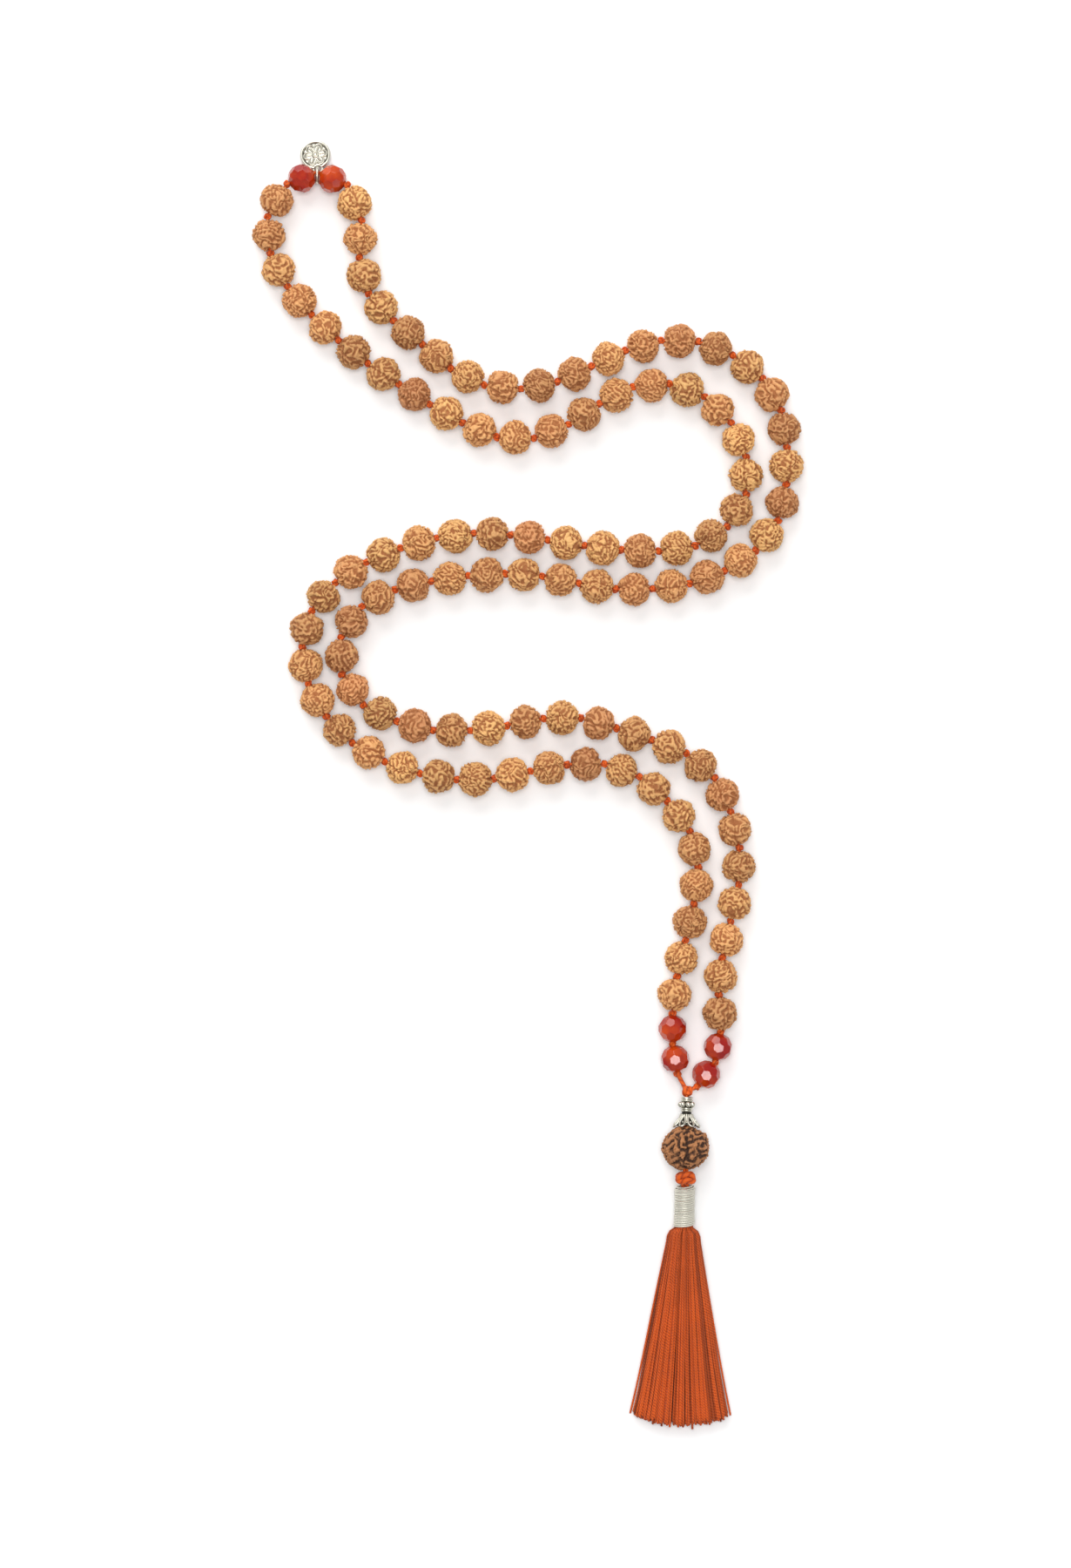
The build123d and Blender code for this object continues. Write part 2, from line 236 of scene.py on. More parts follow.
def separate_solids(name):
    """The vertices of each separate solid of a node, welded where they coincide."""
    points, mesh = node_points(name), frame["nodes"][name].data
    whole, index = np.unique(np.round(points * 1e7).astype(np.int64), axis=0, return_inverse=True)
    index = index.ravel()
    edges = np.empty(len(mesh.edges) * 2, np.int32)
    mesh.edges.foreach_get("vertices", edges)
    a, b = index[edges.reshape(-1, 2)].T
    label = np.arange(len(whole))
    while True:
        lowest = np.minimum(label[a], label[b])
        updated = label.copy()
        np.minimum.at(updated, a, lowest)
        np.minimum.at(updated, b, lowest)
        updated = updated[updated]
        if (updated == label).all():
            break
        label = updated
    return [whole[label == k] * 1e-7 for k in np.unique(label)]


def bore_of(points):
    """The middle and the direction of the hole through a bead.

    The rims of the hole are the points nearest the middle, and lie on a sphere about it.
    """
    middle = (points.min(0) + points.max(0)) / 2
    for slack in (0.12, 0.05, 0.05):
        reach = np.linalg.norm(points - middle, axis=1)
        rims = (points[reach < reach.min() + slack * MM] - middle) / MM
        sphere = np.column_stack([2 * rims, np.ones(len(rims))])
        middle = middle + np.linalg.lstsq(sphere, (rims ** 2).sum(1), rcond=None)[0][:3] * MM
    reach = np.linalg.norm(points - middle, axis=1)
    rims = points[reach < reach.min() + 0.05 * MM] - middle
    return middle, np.linalg.svd(rims, full_matrices=False)[2][0]


class Bead:
    """One bead of a strand: its node, its body, its middle and the direction of its hole."""

    def __init__(self, node, points):
        self.node = node
        self.body = frame["nodes"][node]["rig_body"]
        self.stone = node.endswith("carnelian")
        self.middle, self.way = bore_of(points)


def strand(side):
    """The beads of one strand, in order from the charm to the pendant."""
    names = [n for n in frame["nodes"] if side in n.split("_") and not n.startswith("thread")]
    waiting = [Bead(n, solid) for n in names for solid in separate_solids(n)]
    here = next(b for b in waiting if b.node.startswith("top_"))
    chain = []
    while True:
        chain.append(here)
        waiting.remove(here)
        if not waiting:
            break
        after = min(waiting, key=lambda b: np.linalg.norm(b.middle - here.middle))
        if here.way @ (after.middle - here.middle) < 0:
            here.way = -here.way
        here = after
    if here.way @ (here.middle - chain[-2].middle) < 0:
        here.way = -here.way
    return chain


def knots_between(chain, settings):
    """The knot after each bead of a strand."""
    reach = [(settings.stone.pitch if b.stone else settings.seed.pitch) / 2 for b in chain]
    knots = []
    for k, bead in enumerate(chain):
        end = bead.middle + bead.way * reach[k]
        if k + 1 < len(chain):
            after = chain[k + 1]
            end = (end + after.middle - after.way * reach[k + 1]) / 2
        knots.append(end)
    return knots


def crossing(first, second):
    """The point where the holes of two neighbouring beads meet."""
    a, b, gap = first.way, second.way, second.middle - first.middle
    share = a @ b
    along = (gap @ a - (gap @ b) * share) / (1 - share * share)
    return first.middle + a * along


def span_along(points, middle, way):
    reach = (points - middle) @ way
    return reach.min(), reach.max()


# ---- making meshes ---------------------------------------------------------------------------
def frame_on(way, turn=0.0):
    """Three columns: two square to a direction, then the direction itself."""
    way = np.asarray(way, float) / np.linalg.norm(way)
    side = np.cross(way, UP if abs(way[2]) < 0.9 else [1.0, 0.0, 0.0])
    side /= np.linalg.norm(side)
    other = np.cross(way, side)
    c, s = math.cos(turn), math.sin(turn)
    return np.column_stack([c * side + s * other, c * other - s * side, way])


class Shape:
    """Points, faces and named values of a piece while it is put together."""

    def __init__(self):
        self.points, self.faces, self.values, self.count = [], [], {}, 0

    def add(self, points, faces, **values):
        for k, v in values.items():
            self.values.setdefault(k, []).append(np.broadcast_to(v, (len(points),) + np.shape(v)[1:]))
        self.points.append(points)
        self.faces += [np.asarray(f) + self.count for f in faces]
        self.count += len(points)

    def piece(self, name, material):
        """Makes the object, smooth, with the named values as attributes of its points."""
        mesh = bpy.data.meshes.new(name)
        points = np.concatenate(self.points)
        mesh.vertices.add(len(points))
        mesh.vertices.foreach_set("co", points.astype(np.float32).ravel())
        corners = np.concatenate([f.ravel() for f in self.faces])
        sizes = np.concatenate([np.full(len(f), f.shape[1]) for f in self.faces])
        mesh.loops.add(len(corners))
        mesh.loops.foreach_set("vertex_index", corners.astype(np.int32))
        mesh.polygons.add(len(sizes))
        mesh.polygons.foreach_set("loop_start", np.concatenate([[0], np.cumsum(sizes)[:-1]]).astype(np.int32))
        mesh.update(calc_edges=True)
        mesh.polygons.foreach_set("use_smooth", np.ones(len(sizes), bool))
        for key, blocks in self.values.items():
            value = np.concatenate(blocks).astype(np.float32)
            kind = "FLOAT_VECTOR" if value.ndim == 2 else "FLOAT"
            layer = mesh.attributes.new(key, kind, "POINT")
            layer.data.foreach_set("vector" if value.ndim == 2 else "value", value.ravel())
        piece = bpy.data.objects.new(name, mesh)
        bpy.context.scene.collection.objects.link(piece)
        mesh.materials.append(material)
        return piece


def grid_faces(rows, columns, wrap_rows=False):
    """Four-sided faces over rows of points that close round their columns."""
    row = np.arange(rows if wrap_rows else rows - 1)
    r, c = np.meshgrid(row, np.arange(columns), indexing="ij")
    r2, c2 = (r + 1) % rows, (c + 1) % columns
    corners = [r * columns + c, r * columns + c2, r2 * columns + c2, r2 * columns + c]
    return np.stack(corners, -1).reshape(-1, 4)


def smooth_line(points, count):
    """A smooth line through points, evenly spaced."""
    p = np.asarray(points, float)
    p = np.vstack([2 * p[0] - p[1], p, 2 * p[-1] - p[-2]])
    fine = []
    for k in range(1, len(p) - 2):
        t = np.linspace(0, 1, 24, endpoint=False)[:, None]
        a, b, c, d = p[k - 1], p[k], p[k + 1], p[k + 2]
        fine.append(0.5 * (2 * b + (c - a) * t + (2 * a - 5 * b + 4 * c - d) * t ** 2
                           + (3 * b - a - 3 * c + d) * t ** 3))
    fine = np.vstack(fine + [p[-2:-1]])
    run = np.concatenate([[0], np.cumsum(np.linalg.norm(np.diff(fine, axis=0), axis=1))])
    at = np.linspace(0, run[-1], count)
    return np.column_stack([np.interp(at, run, fine[:, k]) for k in range(3)])


def blunt(line, radius):
    """A strand's line and radii with a short rounded step at each end."""
    first, last = line[1] - line[0], line[-2] - line[-1]
    inset_first = line[0] + first * min(0.4, 0.5 * radius[0] / np.linalg.norm(first))
    inset_last = line[-1] + last * min(0.4, 0.5 * radius[-1] / np.linalg.norm(last))
    line = np.vstack([line[:1], inset_first, line[1:-1], inset_last, line[-1:]])
    radius = np.concatenate([[0.5 * radius[0]], radius, [0.5 * radius[-1]]])
    return line, radius


def tube(shape, line, radius, sides=10, plies=0, twist=0.0, closed=False, start=0.0):
    """Sweeps a round or plied strand along a line of points, with a rounded cap at each end."""
    line = np.asarray(line, float)
    radius = np.broadcast_to(np.asarray(radius, float), (len(line),))
    if not closed:
        line, radius = blunt(line, radius)
    count = len(line)
    if closed:
        way = np.roll(line, -1, 0) - np.roll(line, 1, 0)
    else:
        way = np.gradient(line, axis=0)
    way /= np.linalg.norm(way, axis=1)[:, None]
    side = np.empty_like(way)
    side[0] = frame_on(way[0])[:, 0]
    for k in range(1, count):
        side[k] = side[k - 1] - way[k] * (side[k - 1] @ way[k])
        side[k] /= np.linalg.norm(side[k])
    step = np.linalg.norm(np.diff(line, axis=0, append=line[:1] if closed else line[-1:]), axis=1)
    run = start + np.concatenate([[0], np.cumsum(step)[:-1]])
    angle = np.linspace(0, 2 * math.pi, sides, endpoint=False)[None, :] * np.ones((count, 1))
    if closed:
        last = side[-1] - way[0] * (side[-1] @ way[0])
        drift = math.atan2(np.cross(side[0], last) @ way[0], side[0] @ last)
        angle = angle - (drift * np.arange(count) / count)[:, None]
    thick = radius[:, None] * np.ones((1, sides))
    if plies:
        thick = thick * (0.93 + 0.12 * np.abs(np.cos((plies * angle + twist * run[:, None]) / 2)))
    across = np.cross(way, side)
    points = line[:, None, :] + thick[..., None] * (
        np.cos(angle)[..., None] * side[:, None, :] + np.sin(angle)[..., None] * across[:, None, :])
    lay = np.stack([np.cos(angle), np.sin(angle), run[:, None] * np.ones((1, sides))], -1)
    faces = [grid_faces(count, sides, closed)]
    if not closed:
        faces.append(np.arange(sides)[::-1][None, :])
        faces.append(((count - 1) * sides + np.arange(sides))[None, :])
    shape.add(points.reshape(-1, 3), faces, lay=lay.reshape(-1, 3))


def less_tool(piece, tool_mesh):
    """The mesh of a piece with a tool's shape cut out of it."""
    tool = bpy.data.objects.new("tool", tool_mesh)
    bpy.context.scene.collection.objects.link(tool)
    cut = piece.modifiers.new("hole", "BOOLEAN")
    cut.object, cut.operation, cut.solver = tool, "DIFFERENCE", "EXACT"
    bpy.context.view_layer.update()
    done = bpy.data.meshes.new_from_object(piece.evaluated_get(bpy.context.evaluated_depsgraph_get()))
    piece.modifiers.clear()
    bpy.data.objects.remove(tool)
    return done


def knot_line(middle, way, width, length, thickness, turn):
    """The closed run of a strand through a tight three-lobed knot."""
    t = np.linspace(0, 2 * math.pi, 54, endpoint=False)
    reach = (width - thickness) / 2 / 2.75
    lobes = np.column_stack([
        reach * (np.sin(t) + 1.75 * np.sin(2 * t)),
        reach * (np.cos(t) - 1.75 * np.cos(2 * t)),
        -(length - thickness) / 2 * np.sin(3 * t),
    ])
    return middle + lobes @ frame_on(way, turn).T


# ---- materials -------------------------------------------------------------------------------
def surface(name):
    """A new material with its shader, and its tree."""
    material = bpy.data.materials.new(name)
    material.use_nodes = True
    tree = material.node_tree
    return material, tree, tree.nodes["Principled BSDF"]


def node(tree, kind, **settings):
    made = tree.nodes.new(kind)
    for key, value in settings.items():
        setattr(made, key, value)
    return made


def object_place(tree):
    return node(tree, "ShaderNodeTexCoord").outputs["Object"]


def attribute(tree, name, output="Fac"):
    return node(tree, "ShaderNodeAttribute", attribute_name=name).outputs[output]


def noise(tree, scale, detail=3.0, roughness=0.55):
    made = node(tree, "ShaderNodeTexNoise")
    made.inputs["Scale"].default_value = scale
    made.inputs["Detail"].default_value = detail
    made.inputs["Roughness"].default_value = roughness
    tree.links.new(object_place(tree), made.inputs["Vector"])
    return made.outputs["Fac"]


def ramp(tree, value, *stops):
    """A colour ramp over (position, colour) stops."""
    made = node(tree, "ShaderNodeValToRGB")
    elements = made.color_ramp.elements
    while len(elements) < len(stops):
        elements.new(0.5)
    for element, (at, colour) in zip(elements, stops):
        element.position = at
        element.color = (*colour, 1.0)
    tree.links.new(value, made.inputs["Fac"])
    return made.outputs["Color"]


def grey(level):
    return (level, level, level)


def blend_colours(tree, kind, share, first, second):
    """Mixes two colours or sockets by a share that is a number or a socket."""
    made = node(tree, "ShaderNodeMix", data_type="RGBA", blend_type=kind)
    for socket, value in ((made.inputs[0], share), (made.inputs[6], first), (made.inputs[7], second)):
        if isinstance(value, bpy.types.NodeSocket):
            tree.links.new(value, socket)
        elif isinstance(value, (int, float)):
            socket.default_value = value
        else:
            socket.default_value = (*value, 1.0)
    return made.outputs[2]


def calculate(tree, kind, *values):
    made = node(tree, "ShaderNodeMath", operation=kind)
    for socket, value in zip(made.inputs, values):
        if isinstance(value, bpy.types.NodeSocket):
            tree.links.new(value, socket)
        else:
            socket.default_value = value
    return made.outputs[0]


def bump(tree, shader, *heights):
    """Stacks (height, distance) bumps into the shader's normal."""
    normal = None
    for height, distance in heights:
        made = node(tree, "ShaderNodeBump")
        made.inputs["Distance"].default_value = distance
        tree.links.new(height, made.inputs["Height"])
        if normal:
            tree.links.new(normal, made.inputs["Normal"])
        normal = made.outputs["Normal"]
    tree.links.new(normal, shader.inputs["Normal"])


def seed_skin(name, ridge, ruddy, groove):
    """Dry ridged seed: grooves darkened with painted shade, pale rubbed ridges, and each seed its own tint.
    """
    material, tree, shader = surface(name)
    height, tint, tone = (attribute(tree, key) for key in ("ridge", "tint", "tone"))
    blotches = noise(tree, 420.0, 2.0)
    ruddiness = calculate(tree, "ADD", tint, calculate(tree, "MULTIPLY_ADD", blotches, 0.7, -0.35))
    ruddiness.node.use_clamp = True
    tops = blend_colours(tree, "MIX", ruddiness, ridge, ruddy)
    speckle = calculate(tree, "MULTIPLY_ADD", noise(tree, 2600.0, 4.0), 0.5, -0.25)
    # By height, the colour runs from the groove colour, which is painted shade, up to the rubbed ridge tops.
    level = ramp(tree, calculate(tree, "ADD", height, speckle),
                 (0.0, grey(0.0)), (0.30, grey(0.22)), (0.62, grey(0.80)), (1.0, grey(1.0)))
    colour = blend_colours(tree, "MIX", level, groove, tops)
    shade = ramp(tree, tone, (0.0, grey(0.70)), (1.0, grey(1.08)))
    tree.links.new(blend_colours(tree, "MULTIPLY", 1.0, colour, shade), shader.inputs["Base Color"])
    rough = ramp(tree, height, (0.2, grey(0.80)), (1.0, grey(0.50)))
    tree.links.new(rough, shader.inputs["Roughness"])
    shader.inputs["Specular IOR Level"].default_value = 0.35
    bump(tree, shader, (noise(tree, 2600.0, 4.0), 0.00012), (noise(tree, 9000.0, 2.0), 0.00004))
    return material


def stone_polish(settings):
    """Polished translucent stone, deep red with orange bands and cloudy patches."""
    material, tree, shader = surface("carnelian")
    clouds = noise(tree, 260.0, 3.0)
    bands = noise(tree, 95.0, 1.0)
    mixed = calculate(tree, "ADD", calculate(tree, "MULTIPLY", clouds, 0.5),
                      calculate(tree, "MULTIPLY", bands, 0.5))
    colour = ramp(tree, mixed, (0.42, tuple(settings.deep_colour)), (0.68, tuple(settings.light_colour)))
    tree.links.new(colour, shader.inputs["Base Color"])
    rough = ramp(tree, noise(tree, 1800.0), (0.3, grey(0.04)), (0.8, grey(0.10)))
    tree.links.new(rough, shader.inputs["Roughness"])
    shader.inputs["IOR"].default_value = 1.54
    shader.inputs["Transmission Weight"].default_value = 0.25
    shader.inputs["Subsurface Weight"].default_value = 0.12
    shader.inputs["Subsurface Radius"].default_value = (1.0, 0.25, 0.1)
    shader.inputs["Subsurface Scale"].default_value = 0.0015
    shader.inputs["Coat Weight"].default_value = 0.12
    shader.inputs["Coat Roughness"].default_value = 0.03
    bump(tree, shader, (noise(tree, 900.0), 0.00001))
    return material


def spun_thread(name, colour, shade, ply_twist, gloss=0.62, layer_shade=False):
    """Plied thread: paler on the plies and darker between them as painted shade, with loose fibres."""
    material, tree, shader = surface(name)
    lay = node(tree, "ShaderNodeSeparateXYZ")
    tree.links.new(attribute(tree, "lay", "Vector"), lay.inputs[0])
    angle = calculate(tree, "ARCTAN2", lay.outputs["Y"], lay.outputs["X"])
    run = calculate(tree, "MULTIPLY", lay.outputs["Z"], ply_twist)
    ply = calculate(tree, "ABSOLUTE", calculate(tree, "COSINE", calculate(tree, "ADD", angle, run)))
    fibre_run = calculate(tree, "MULTIPLY", run, 2.4)
    fibres = calculate(tree, "SINE", calculate(tree, "MULTIPLY_ADD", angle, 9.0, fibre_run))
    fleck = noise(tree, 3200.0, 3.0)
    level = calculate(tree, "ADD", calculate(tree, "MULTIPLY", ply, 0.75),
                      calculate(tree, "MULTIPLY_ADD", fleck, 0.5, -0.1))
    # Painted shade: the ramp darkens the thread between its plies towards the shade colour.
    base = ramp(tree, level, (0.08, tuple(shade)), (0.75, tuple(colour)))
    patches = ramp(tree, noise(tree, 160.0, 2.0), (0.3, grey(0.86)), (0.7, grey(1.0)))
    dyed = blend_colours(tree, "MULTIPLY", 1.0, base, patches)
    if layer_shade:
        # Painted shade: threads lower in the tassel are darker, by their tone.
        depth = ramp(tree, attribute(tree, "tone"), (0.0, grey(0.30)), (0.85, grey(1.0)))
        dyed = blend_colours(tree, "MULTIPLY", 1.0, dyed, depth)
    tree.links.new(dyed, shader.inputs["Base Color"])
    shader.inputs["Roughness"].default_value = gloss
    shader.inputs["Sheen Weight"].default_value = 0.12
    shader.inputs["Sheen Roughness"].default_value = 0.4
    shader.inputs["Specular IOR Level"].default_value = 0.3
    bump(tree, shader, (ply, 0.00007), (fibres, 0.00001), (fleck, 0.00004))
    return material


def old_silver(name, settings):
    """Rubbed silver with blackened hollows, fine scratches and small dents."""
    material, tree, shader = surface(name)
    relief = attribute(tree, "relief")
    blotches = calculate(tree, "MULTIPLY_ADD", noise(tree, 1500.0, 4.0), 0.5, -0.25)
    dirt = calculate(tree, "ADD", relief, blotches)
    level = ramp(tree, dirt, (0.12, grey(0.0)), (0.55, grey(1.0)))
    colour = blend_colours(tree, "MIX", level, settings.patina_colour, settings.colour)
    tree.links.new(colour, shader.inputs["Base Color"])
    shader.inputs["Metallic"].default_value = 1.0
    rough = ramp(tree, calculate(tree, "ADD", calculate(tree, "MULTIPLY", dirt, 0.8), noise(tree, 700.0)),
                 (0.3, grey(0.6)), (1.0, grey(0.34)))
    tree.links.new(rough, shader.inputs["Roughness"])
    bump(tree, shader, (noise(tree, 600.0, 2.0), 0.00006), (noise(tree, 5200.0, 3.0), 0.00002))
    return material


def pale_floor(settings):
    material, tree, shader = surface("pale_floor")
    grain = ramp(tree, noise(tree, 60.0), (0.3, tuple(0.985 * c for c in settings.floor_colour)),
                 (0.7, tuple(settings.floor_colour)))
    tree.links.new(grain, shader.inputs["Base Color"])
    shader.inputs["Roughness"].default_value = 0.8
    shader.inputs["Specular IOR Level"].default_value = 0.2
    return material


# ---- seeds -----------------------------------------------------------------------------------
def waves(rng, points, wavelength, count=30):
    """A field of even bumps about one wavelength apart, with unit spread."""
    ways = rng.normal(size=(count, 3))
    ways /= np.linalg.norm(ways, axis=1)[:, None]
    lengths = wavelength * rng.uniform(0.82, 1.28, count)
    phases = rng.uniform(0, 2 * math.pi, count)
    field = np.zeros(len(points), np.float32)
    for way, length, phase in zip(ways, lengths, phases):
        field += np.cos((points @ (way * 2 * math.pi / length)).astype(np.float32) + np.float32(phase))
    return field / math.sqrt(count / 2)


def ridged_seed(rng, diameter, length, ridge_width, ridge_height, rows, columns, knot_at, hollow, furrow,
                grain=0.16):
    """A drilled seed: winding ridges, five furrows from pole to pole, and a hollow at each hole.

    Its rows of points run from one pole to the other and back through the hole.
    """
    bore = 0.62 * MM
    opening = math.asin(bore / (diameter / 2))
    fall = np.linspace(opening, math.pi - opening, rows - 2)
    around = np.linspace(0, 2 * math.pi, columns, endpoint=False)
    f, a = (v.ravel() for v in np.meshgrid(fall, around, indexing="ij"))
    unit = np.column_stack([np.sin(f) * np.cos(a), np.sin(f) * np.sin(a), np.cos(f)])
    base = unit * [diameter / 2, diameter / 2, length / 2]
    bend = 0.3 * waves(rng, base, ridge_width * 2.6, 10)[:, None] * ridge_width
    field = waves(rng, base + bend, ridge_width)
    ridge = np.clip(0.5 + 0.42 * np.tanh(1.5 * field) + 0.08 * field, 0, 1.15)
    crown = grain * waves(rng, base, ridge_width * 0.42, 16)
    lines = rng.uniform(0, 2 * math.pi) + 2 * math.pi * np.arange(5) / 5 + rng.normal(0, 0.08, 5)
    wander = 0.10 * np.sin(2.3 * f + rng.uniform(0, 6)) + 0.05 * np.sin(6 * f + rng.uniform(0, 6))
    off = np.abs((a[:, None] - lines[None, :] - wander[:, None] + math.pi) % (2 * math.pi) - math.pi).min(1)
    groove = np.exp(-((off * np.sin(f) * diameter / 2) / furrow) ** 2)
    lumps = waves(rng, base, diameter * 0.45, 12) * diameter * 0.011
    rise = (ridge + crown - 1.2) * ridge_height - groove * ridge_height * 0.6 + lumps
    points = base + unit * rise[:, None]
    # The colour level is lower in the grooves and the five furrows: painted shade.
    level = np.clip(0.92 * ridge + 0.5 * crown - 0.55 * groove, 0, 1)
    out = np.hypot(points[:, 0], points[:, 1])
    for end in (-1, 1):
        inside = (out < hollow) & (points[:, 2] * end > 0)
        floor = knot_at - np.sqrt(np.maximum(hollow ** 2 - out ** 2, 0))
        inside &= points[:, 2] * end > floor
        points[inside, 2] = end * floor[inside]
        # Painted shade: the hollow at each hole is darker.
        level[inside] *= 0.55
    ends = []
    for end in (1, -1):
        ring = bore * np.column_stack([np.cos(around), np.sin(around), 0 * around])
        ends.append(ring * 0.96 + [0, 0, end * (knot_at - hollow) * 0.82])
    points = np.vstack([ends[0], points, ends[1]])
    # The rings inside the hole take the lowest level: painted shade.
    level = np.concatenate([np.zeros(columns), level, np.zeros(columns)])
    return points, grid_faces(rows, columns, True)[:, ::-1], level


class MALA_OT_seeds(bpy.types.Operator):
    """Make the ridged seeds of both strands, one piece for each section of each strand"""
    bl_idname = "mala.seeds"
    bl_label = "Strand Seeds"

    def execute(self, context):
        s = context.scene.mala.seed
        rows, columns = 66, 128
        hollow, furrow = 1.02 * MM, 0.17 * MM
        rng = np.random.default_rng(s.seed)
        material = seed_skin("seed_skin", s.ridge_colour, s.ruddy_colour, s.groove_shade_colour)
        for side in SIDES:
            groups = {}
            for bead in strand(side):
                if not bead.stone:
                    groups.setdefault(bead.node, []).append(bead)
            for name, beads in groups.items():
                shape = Shape()
                for bead in beads:
                    size = s.diameter * rng.uniform(0.965, 1.012)
                    points, faces, level = ridged_seed(
                        rng, size, size * rng.uniform(0.95, 0.99), s.ridge_width * rng.uniform(0.85, 1.15),
                        s.ridge_height * rng.uniform(0.85, 1.2), rows, columns, s.pitch / 2, hollow, furrow)
                    turned = points @ frame_on(bead.way, rng.uniform(0, 2 * math.pi)).T + bead.middle
                    turned[:, 2] = np.maximum(turned[:, 2], 0)
                    shape.add(turned, [faces], ridge=level, tint=np.full(len(points), rng.beta(1.3, 1.6)),
                              tone=np.full(len(points), rng.beta(2.2, 1.6)))
                piece = shape.piece(name.replace("beads", "seeds"), material)
                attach(piece, beads[0].body)
                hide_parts(name)
        return {"FINISHED"}


class MALA_OT_guru(bpy.types.Operator):
    """Make the large dark guru bead"""
    bl_idname = "mala.guru"
    bl_label = "Guru Bead"

    def execute(self, context):
        s = context.scene.mala.guru
        rng = np.random.default_rng(5)
        material = seed_skin("guru_skin", s.ridge_colour, s.ridge_colour, s.groove_shade_colour)
        middle, way = bore_of(node_points("guru_bead"))
        ridge_width, ridge_height, hollow, furrow = 1.3 * MM, 0.40 * MM, 1.25 * MM, 0.24 * MM
        rows, columns = 132, 260
        knot_at = s.length / 2 + 1.1 * MM
        points, faces, level = ridged_seed(
            rng, s.diameter, s.length * 1.02, ridge_width, ridge_height, rows, columns, knot_at,
            hollow, furrow, 0.19)
        shape = Shape()
        turned = points @ frame_on(way).T + middle
        turned[:, 2] = np.maximum(turned[:, 2], 0)
        shape.add(turned, [faces], ridge=level,
                  tint=np.full(len(points), 0.5), tone=np.full(len(points), 0.9))
        piece = shape.piece("guru_seed", material)
        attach(piece, "guru")
        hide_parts("guru_bead")
        return {"FINISHED"}


# ---- stones ----------------------------------------------------------------------------------
def cut_stone(s):
    """A ball cut to flat facets, with softened edges and a hole that opens into a cup at each end."""
    bm = bmesh.new()
    bmesh.ops.create_cube(bm, size=s.diameter * 2)
    flat_at = s.diameter * 0.467
    rows = [(0, 0.0, 0), (33, 0.5, 0), (-33, 0.5, 0), (62, 0.0, 3), (-62, 0.0, 3)]
    for rise, turn, fewer in rows:
        count = s.columns - fewer
        for k in range(count):
            a, e = 2 * math.pi * (k + turn) / count, math.radians(rise)
            way = Vector((math.cos(e) * math.cos(a), math.cos(e) * math.sin(a), math.sin(e)))
            slice_off(bm, way, flat_at)
    for end in (-1, 1):
        slice_off(bm, Vector((0, 0, end)), flat_at)
    bmesh.ops.bevel(bm, geom=bm.edges[:], offset=0.045 * MM, segments=1, affect="EDGES", profile=0.5)
    mesh = bpy.data.meshes.new("stone")
    bm.to_mesh(mesh)
    bm.free()
    stone = bpy.data.objects.new("stone", mesh)
    bpy.context.scene.collection.objects.link(stone)
    done = less_tool(stone, drill_mesh(s.pitch / 2))
    bpy.data.objects.remove(stone)
    return done


def slice_off(bm, way, distance):
    geom = bm.verts[:] + bm.edges[:] + bm.faces[:]
    cut = bmesh.ops.bisect_plane(
        bm, geom=geom, plane_co=way * distance, plane_no=way, clear_outer=True, dist=1e-8)
    edges = [e for e in cut["geom_cut"] if isinstance(e, bmesh.types.BMEdge)]
    if edges:
        bmesh.ops.contextual_create(bm, geom=edges)


def drill_mesh(knot_at):
    """The tool for a stone's hole: a thin rod that swells to a ball at each end."""
    count, ball = 32, 0.95 * MM
    profile = [(0.0, -knot_at - ball)]
    for t in np.linspace(-1.35, 0.9, 9):
        profile.append((ball * math.cos(t), -knot_at + ball * math.sin(t)))
    profile = profile + [(r, -z) for r, z in reversed(profile)]
    rings = [(r, z) for r, z in profile if r > 0]
    angle = np.linspace(0, 2 * math.pi, count, endpoint=False)
    points = np.concatenate([
        np.column_stack([r * np.cos(angle), r * np.sin(angle), z + 0 * angle]) for r, z in rings])
    faces = grid_faces(len(rings), count).tolist()
    faces += [list(range(count))[::-1], [(len(rings) - 1) * count + k for k in range(count)]]
    mesh = bpy.data.meshes.new("drill")
    mesh.from_pydata(points.tolist(), [], faces)
    return mesh


class MALA_OT_stones(bpy.types.Operator):
    """Make the faceted stones at both ends of the strands"""
    bl_idname = "mala.stones"
    bl_label = "Faceted Stones"

    def execute(self, context):
        s = context.scene.mala.stone
        rng = np.random.default_rng(3)
        material = stone_polish(s)
        cut = cut_stone(s)
        for side in SIDES:
            for bead in strand(side):
                if not bead.stone:
                    continue
                mesh = cut.copy()
                turn = frame_on(bead.way, -math.pi / 2 + rng.normal(0, 0.06))
                mesh.transform(Matrix.Translation(Vector(bead.middle)) @ Matrix(turn.tolist()).to_4x4())
                mesh.materials.append(material)
                piece = bpy.data.objects.new(bead.node.replace("carnelian", "stone"), mesh)
                context.scene.collection.objects.link(piece)
                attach(piece, bead.body)
                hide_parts(bead.node)
        bpy.data.meshes.remove(cut)
        return {"FINISHED"}


# ---- thread ----------------------------------------------------------------------------------
def tie_knot(shape, rng, middle, way, width, length, thickness):
    line = knot_line(middle, way, width, length, thickness, rng.uniform(0, 2 * math.pi))
    tube(shape, line, thickness / 2, sides=10, plies=PLIES, twist=KNOT_TWIST, closed=True)


